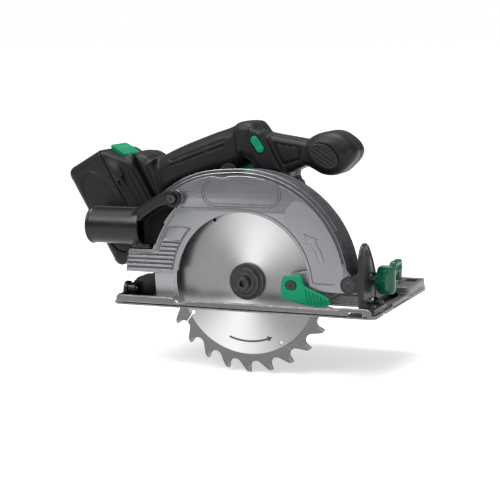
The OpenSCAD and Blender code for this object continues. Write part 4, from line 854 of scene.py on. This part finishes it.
# ------------------------------------------------------------------ handle, in two shells
grip = [(-103.8, 84.6), (-131.0, 131.6), (-124, 133.4), (-116, 131), (-110.4, 125.9), (-100, 131.8), (-90, 136.4), (-80, 140.6), (-69.5, 144.6),
        (-59, 148.5), (-49, 152.2), (-39, 155.2), (-32, 158.0), (-28, 160.6), (-24, 161.8), (-11, 162.1), (-8, 160.2), (-4.6, 155.8), (-2.6, 151.8),
        (-4, 134), (-12, 129.5), (-19, 122.5), (-30, 118.2), (-48.6, 113.6), (-72, 106.4), (-89, 99), (-95, 93.5), (-99.4, 88)]
hubp = [(-26.5, 160.0), (-21, 162.0), (-11, 162.2), (-8, 160.2), (-4.4, 155.8), (-2.2, 152.4), (1, 151.2), (30, 146.9), (42, 144.8), (42, 124.4), (32.4, 120.4),
        (24, 116.5), (29, 103), (33, 90), (33, 62), (24, 44), (-24, 52), (-25, 82), (-17, 100), (-8, 116), (-14, 131), (-26.6, 131)]
knobp = [(37, 143.6), (42.6, 148.2), (49, 151.9), (57, 154.2), (64, 155.1), (70.2, 154.2), (76.2, 151.4), (83.6, 145.6), (87.0, 140.2), (87.8, 136.4), (87.0, 132.4), (84.6, 128.2),
         (76.0, 119.8), (70.5, 116.3), (63, 114.8), (54.4, 115.9), (48.7, 118.9), (40, 125.1)]
H = 0.85
F = Field(-137, 94, -31, 23, 40, 165, H)
g2, h2, k2 = F.poly(ch(grip, 1)), F.poly(ch(hubp, 1)), F.poly(ch(knobp, 2))


def handle(F, g2, h2, k2, o=0.0):
    d = F.ext(g2 + o, HY - 17 + o, HY + 17 - o, 12.5)
    foot = np.maximum(g2, F.poly([(-150, 70), (-150, 140), (-108, 140), (-108, 121), (-92, 70)]))
    d = smin(d, F.ext(foot + o, HY - 25 + o, HY + 25 - o, 9.0), 4.0)
    left = ((F.X - 14.5) * 0.91 + (F.Z - 134) * 0.41)
    d = smin(d, F.ext(np.maximum(h2, left) + o, HY - 23 + o, HY + 16 - o, 8.0), 3.0)
    d = smin(d, F.ext(np.maximum(h2, F.Z - 108) + o, HY - 23.5 + o, HY + 21.5 - o, 5.0), 3.0)
    k = F.ext(k2 + o, HY - 21 + o, HY + 21 - o, 13.5)
    a = F.ext(np.minimum(h2, F.poly([(8, 150.0), (41, 145.0), (50, 142.5), (56, 118), (40, 124.6), (14, 122)])) + o, HY - 18 + o, HY + 17 - o, 4.5)
    return smin(smin(d, a, 2.0), k, 1.6)


D = handle(F, g2, h2, k2)
# the hub's raised band: it stands proud of the arm, with a crisp slanted edge at both sides
band = F.poly([(-10.4, 158.2), (-12.4, 149), (-9.6, 136), (1.3, 119), (21.6, 119), (13.0, 133.6), (6.6, 147), (1.6, 153.6)])
D = smin(D, F.ext(band, HY - 25.4, HY, 3.0), 1.0)
D = smin(D, F.ext(np.maximum(band, F.Z - 147), HY, HY + 17.5, 5.0), 1.0)
# ribbed soft inserts sit in a shallow pocket in each side of the knob
ins2 = F.poly(ch([(43.6, 140.3), (53, 145), (64.5, 142.6), (72, 134.4), (73.5, 128.6), (70, 122.6), (62.5, 121.2), (50.3, 128.8)], 2))
for y0, y1 in ((HY - 30, HY - 19.4), (HY + 19.4, HY + 30)):
    D = smax(D, -F.ext(ins2 - 0.5, y0, y1, 0.3), 0.5)
# long grooves down the grip
for off in (0.0, 4.6):
    p, q = np.array([-92.0, 121.5 + off]), np.array([-38.0, 141.0 + off])
    e = q - p
    t = np.clip(((F.X - p[0]) * e[0] + (F.Z - p[1]) * e[1]) / (e @ e), 0, 1)
    gr = np.hypot(F.X - p[0] - e[0] * t, F.Z - p[1] - e[1] * t) - 0.9
    for sgn in (-1, 1):
        D = smax(D, -np.maximum(gr, 15.9 - sgn * (F.Y - HY)), 0.8)
inside = handle(F, g2, h2, k2, 2.6)
D = np.maximum(D, -inside)
bos = np.full((1, 1, 1), 1e3)
for x, z in ((-82, 129), (-57, 137), (28, 132), (66, 134), (-104, 119)):
    bos = np.minimum(bos, F.cyl(x, z, HY - 30, HY + 30, 4.2, 0))
full = handle(F, g2, h2, k2, 0.4)
D = np.minimum(D, np.maximum(bos, full))
for x, z in ((-82, 129), (-57, 137), (28, 132), (66, 134), (-104, 119)):
    D = np.maximum(D, -F.cyl(x, z, HY - 11, HY + 12, 1.95, 0))
    D = np.maximum(D, -F.cyl(x, z, HY + 9.4, HY + 40, 3.3, 0))
# panel on the arm's side, marked by a groove round it
pan = F.poly([(11.6, 143.6), (36.5, 140.4), (35.6, 130.0), (20.5, 125.0)])
for sg, yy in ((-1, HY - 18), (1, HY + 17)):
    D = smax(D, -np.maximum(np.abs(pan) - 0.75, yy * sg - 1.2 - F.Y * sg), 0.4)
D = smax(D, -F.cyl(MX, MZ, -45, 62, 35.0, 0), 0.5)
D = np.maximum(D, -F.cyl(MX, MZ, -45, -16.8, 41.5, 0))
D = smax(D, -F.box(-50, -7, HY - 7.6, HY + 7.6, 104, 134, 1.5), 0.6)
p, q = np.array([-4.6, 146.9]), np.array([0.8, 139.0])
e = q - p
t = np.clip(((F.X - p[0]) * e[0] + (F.Z - p[1]) * e[1]) / (e @ e), 0, 1)
btn2 = np.hypot(F.X - p[0] - e[0] * t, F.Z - p[1] - e[1] * t)
D = smax(D, -F.ext(btn2 - 4.35, -50, 40, 0), 0.4)
# mouth towards the battery
lx = (F.X + 117.7) * 0.8660 + (F.Z - 108.6) * 0.5
lz = -(F.X + 117.7) * 0.5 + (F.Z - 108.6) * 0.8660
D = np.maximum(D, -np.maximum(np.maximum(np.abs(lx + 0.1) - 3.0, np.abs(F.Y - HY) - 19), np.abs(lz + 1) - 21))
seam = np.abs(F.Y - HY)
D = smax(D, -np.maximum(seam - 0.5, -full - 0.55), 0.3)
make("handle_half_near", F.mesh(np.maximum(D, F.Y - (HY - 0.1))), MT["plastic"], "saw_body", ["handle_shell_right"], 42)
make("handle_half_far", F.mesh(np.maximum(D, (HY + 0.1) - F.Y)), MT["plastic"], "saw_body", ["handle_shell_left"], 42)

# ribbed inserts
ib = Bag()
F = Field(42, 75, -29, 21, 119, 147, 0.5)
ins2 = F.poly(ch([(43.7, 140.3), (53, 145), (64.5, 142.5), (72, 134.2), (73.5, 128.6), (70, 122.8), (62.5, 121.4), (50.4, 128.9)], 2))
D = np.minimum(F.ext(ins2, HY - 21.8, HY - 19.3, 0.9), F.ext(ins2, HY + 19.3, HY + 21.8, 0.9))
u = (F.X * 0.55 + F.Z * 0.835)
rbs = np.abs((u % 3.4) - 1.7) - 0.62
cut = np.maximum(np.maximum(rbs, ins2 + 1.6), 21.0 - np.abs(F.Y - HY))
D = smax(D, -cut, 0.5)
make("grip_pads", F.mesh(D), MT["rubber"], "saw_body", ["grip_inserts"], 45)

# trigger and lock-off button
F = Field(-48, -5, HY - 9, HY + 9, 108, 134, 0.42)
D = F.ext(F.poly(ch([(-45, 132), (-45, 126), (-40, 119), (-31, 113.6), (-21, 111.4), (-13, 113.4), (-9, 118.4), (-9.4, 122.6), (-13, 124.2), (-18, 124), (-20, 127.5), (-20, 130.6)], 2)), HY - 7, HY + 7, 2.6)
D = np.maximum(D, -F.cyl(-42, 130, HY - 9, HY + 9, 2.0, 0))
fing = np.sqrt((F.X + 27) ** 2 + (F.Z - 98.5) ** 2) - 15.6
D = smax(D, -fing, 1.5)
make("trigger_blade", F.mesh(D), MT["lever"], "trigger", ["trigger"], 45)
F = Field(-9, 8, HY - 27, HY + 21, 133, 154, 0.42)
e = np.array([5.4, -7.9])
t = np.clip(((F.X + 4.6) * e[0] + (F.Z - 146.9) * e[1]) / (e @ e), 0, 1)
bt = np.hypot(F.X + 4.6 - e[0] * t, F.Z - 146.9 - e[1] * t)
D = F.ext(bt - 3.9, HY - 25.8, HY + 19.4, 1.3)
D = smax(D, -(np.sqrt((F.X + 0.5) ** 2 + ((F.Y - (HY - 34.5)) / 1.0) ** 2 + (F.Z - 143.5) ** 2) - 9.6), 0.6)
make("lock_off_slider", F.mesh(D), MT["lever"], "lock_off", ["lock_off_button"], 45)

# ------------------------------------------------------------------ depth lock lever
d0 = P(157, 177.5, (PVX, PVZ))
F = Field(d0[0] - 33, d0[0] + 11, -29, -13, d0[1] - 11, d0[1] + 30, 0.5)
D = F.cyl(d0[0], d0[1], -27, -16, 8, 1.2)
for k in range(10):
    a = math.radians(36 * k)
    D = smax(D, -(np.hypot(F.X - d0[0] - 9.1 * math.cos(a), F.Z - d0[1] - 9.1 * math.sin(a)) - 1.5), 0.4)
e = np.array([-22.0, 18.0])
t = np.clip(((F.X - d0[0]) * e[0] + (F.Z - d0[1]) * e[1]) / (e @ e), 0, 1)
D = smin(D, F.ext(np.hypot(F.X - d0[0] - e[0] * t, F.Z - d0[1] - e[1] * t) - (5.6 - 1.0 * t), -22, -16, 1.6), 1.5)
D = np.maximum(D, -F.cyl(d0[0], d0[1], -29, -15.6, 3.02, 0))
make("depth_lock_handle", F.mesh(D), MT["plastic"], "depth_lock", ["depth_lock_lever"], 45)

# ------------------------------------------------------------------ battery, in its own leaning frame
RB = np.array([[0.8660254, 0, -0.5, 0], [0, 1, 0, 0], [0.5, 0, 0.8660254, 0], [0, 0, 0, 1]])
U0, U1, V0, VS, V1, BW = 92.5, 196.5, -109.0, -68.5, -48.0, 37.0
F = Field(-112, -46, HY - 40, HY + 40, 89, 200, 0.85)
prof = F.poly(ch([(V0, U0 + 1), (V0, U1 - 1), (V0 + 1, U1), (VS - 0.15, U1), (VS - 0.15, U0), (V0 + 1, U0)], 0))
D = rint(rint(np.broadcast_to(prof, F.n), np.abs(F.Y - HY) - BW, 6.0), prof, 0.1)
D = F.box(V0, VS + 8, HY - BW, HY + BW, U0, U1, 7.0)
D = np.maximum(D, F.X - (VS - 0.15))
# plain label field on both sides, marked by a groove round it
lab = F.poly(ch([(V0 + 5.5, U0 + 10), (V0 + 5.5, U1 - 12), (VS - 6.5, U1 - 12), (VS - 6.5, U0 + 10)], 2))
grv = np.abs(lab) - 0.7
D = smax(D, -np.maximum(grv, (BW - 0.9) - np.abs(F.Y - HY)), 0.5)
# ribs low on the sides and along the outer face
for k in range(5):
    zc = U0 + 16 + 18 * k
    D = smax(D, -np.maximum(np.maximum(np.abs(F.Z - zc) - 1.0, F.X - (V0 + 1.0)), np.abs(F.Y - HY) - 24), 0.6)
D = np.maximum(D, -np.maximum(F.box(V0 + 2.6, -50, HY - BW + 2.6, HY + BW - 2.6, U0 + 2.6, U1 - 2.6, 5.0), F.X - 0))
make("battery_shell_lower", F.mesh(D), [MT["battery"]], "battery", ["battery_lower_case"], 42, RB)
D = F.box(VS - 8, V1, HY - BW, HY + BW, U0 + 3, U1 - 1.5, 4.5)
sh = (np.abs(F.Y - HY) - (BW - 0.78 * (F.X - VS - 1.5))) * 0.79
D = smax(D, sh, 5.0)
D = smax(D, ((F.Z - U1) + 1.35 * (F.X - VS - 1.0)) * 0.6, 4.0)
bump = F.box(-60, V1, HY - 21, HY + 21, U0 + 50, 183.0, 7.0)
D = smin(D, bump, 3.0)
swell = np.sqrt(((F.X + 64) / 5.5) ** 2 + ((np.abs(F.Y - HY) - 33.0) / 4.2) ** 2 + ((F.Z - 168) / 13.0) ** 2) - 1
D = smin(D, swell * 4.0, 2.5)
D = np.maximum(D, (VS + 0.15) - F.X)
# long grooves beside the rails, along the slide
for xg in (-64.8, -60.0, -55.2, -50.8):
    D = smax(D, -np.maximum(np.maximum(np.abs(F.X - xg) - 0.85, -1.0 - sh), np.abs(F.Z - (U0 + 41)) - 34 - 0.4 * (xg + 50)), 0.7)
slope = ((F.Z - U1) + 1.35 * (F.X - VS - 1.0)) * 0.6
D = np.maximum(D, -np.maximum(np.maximum(F.box(VS - 10, V1 - 2.6, HY - BW + 2.6, HY + BW - 2.6, U0 + 6, U1 - 23, 2.0), sh + 2.6), slope + 2.6))
D = np.maximum(D, -F.box(-53.5, V1 + 3, HY - 14, HY + 14, U0 - 2, U0 + 60, 0.5))
D = smax(D, -F.box(-66.6, V1 + 3, HY - 15.6, HY + 15.6, U0 + 84, U1 + 4, 1.0), 0.6)
# the latch's outer foot needs room for its press
D = np.maximum(D, -F.box(-72, V1 + 3, HY - 15.6, HY + 15.6, 188.2, U1 + 4, 0.5))
make("battery_shell_upper", F.mesh(D), [MT["battery"]], "battery", ["battery_upper_case"], 42, RB)
F = Field(-68, -49, HY - 17, HY + 17, U0 + 84, U0 + 109, 0.42)
lt = F.poly(ch([(-63.9, 180.2), (-57, 180.2), (-55.2, 182.6), (-55.4, 184.5), (-63.0, 197.9), (-66, 198.3), (-66, 190.6), (-63.9, 190.6)], 1))
D = F.ext(lt, HY - 15, HY + 15, 1.4)
rr_ = np.abs(((F.Y - HY) % 2.9) - 1.45) - 0.62
s = (F.X + 55.4) * 0.885 + (F.Z - 184.5) * 0.465
D = smax(D, -np.maximum(np.maximum(rr_, -0.9 - s), np.abs(F.Y - HY) - 12.6), 0.4)
make("battery_release_latch", F.mesh(D), MT["lever"], "battery_latch", ["battery_latch"], 45, RB)

# ------------------------------------------------------------------ floor, light and camera
fz = -0.0606
me = bpy.data.meshes.new("floor")
me.from_pydata([(-40, -40, fz), (40, -40, fz), (40, 40, fz), (-40, 40, fz)], [], [(0, 1, 2, 3)])
floor = bpy.data.objects.new("floor", me)
bpy.context.scene.collection.objects.link(floor)
me.materials.append(material("pale_floor", (0.62, 0.62, 0.62), 0.65, 0, 0.01, 0.03, 0.02, 300, 3))
fb_ = [n for n in me.materials[0].node_tree.nodes if n.type == "BSDF_PRINCIPLED"][0]
fb_.inputs["Emission Color"].default_value = (1, 1, 1, 1)
fb_.inputs["Emission Strength"].default_value = 0.52

w = bpy.data.worlds.new("studio")
bpy.context.scene.world = w
w.use_nodes = True
nt = w.node_tree
nt.nodes.clear()
wo, mixs, lp = nt.nodes.new("ShaderNodeOutputWorld"), nt.nodes.new("ShaderNodeMixShader"), nt.nodes.new("ShaderNodeLightPath")
b1, b2 = nt.nodes.new("ShaderNodeBackground"), nt.nodes.new("ShaderNodeBackground")
tcw, sep, mr = nt.nodes.new("ShaderNodeTexCoord"), nt.nodes.new("ShaderNodeSeparateXYZ"), nt.nodes.new("ShaderNodeMapRange")
nt.links.new(tcw.outputs["Generated"], sep.inputs[0])
nt.links.new(sep.outputs[2], mr.inputs[0])
mr.inputs[1].default_value, mr.inputs[2].default_value = 0.0, 0.9
mr.inputs[3].default_value, mr.inputs[4].default_value = 0.22, 0.75
nt.links.new(mr.outputs[0], b1.inputs[1])
b2.inputs[0].default_value, b2.inputs[1].default_value = (1, 1, 1, 1), 1.0
nt.links.new(lp.outputs["Is Camera Ray"], mixs.inputs[0])
nt.links.new(b1.outputs[0], mixs.inputs[1])
nt.links.new(b2.outputs[0], mixs.inputs[2])
nt.links.new(mixs.outputs[0], wo.inputs[0])
bpy.context.scene.view_settings.view_transform = "Standard"


def area(name, loc, target, size, power, size_y=None):
    l = bpy.data.lights.new(name, "AREA")
    l.energy, l.size = power, size
    if size_y:
        l.shape, l.size_y = "RECTANGLE", size_y
    o = bpy.data.objects.new(name, l)
    o.location = loc
    o.rotation_euler = (Vector(target) - Vector(loc)).to_track_quat("-Z", "Y").to_euler()
    bpy.context.scene.collection.objects.link(o)


area("key", (-0.55, -1.0, 1.0), (0, 0, 0.04), 0.6, 9)
area("top", (0.0, 0.1, 1.1), (0, 0, 0.05), 0.8, 7, 0.4)
area("fill", (1.2, -0.6, 0.45), (0, 0, 0.05), 0.5, 3.5)
sun = bpy.data.lights.new("sky_sun", "SUN")
sun.energy, sun.angle = 2.0, math.radians(70)
so = bpy.data.objects.new("sky_sun", sun)
so.rotation_euler = (math.radians(22), math.radians(-14), 0)
bpy.context.scene.collection.objects.link(so)

cam = bpy.data.cameras.new("camera")
cam.lens, cam.sensor_width = 104.92, 36
cam.clip_start, cam.clip_end = 0.05, 50
co = bpy.data.objects.new("camera", cam)
bpy.context.scene.collection.objects.link(co)
rgt, up, bk = Vector((0.92276, 0.38511, -0.01382)), Vector((-0.04381, 0.14048, 0.98911)), Vector((0.38286, -0.91211, 0.14650))
rot = Matrix((rgt, up, bk)).transposed().to_4x4()
co.matrix_world = Matrix.Translation((0.4958, -1.2344, 0.2407)) @ rot
bpy.context.scene.camera = co
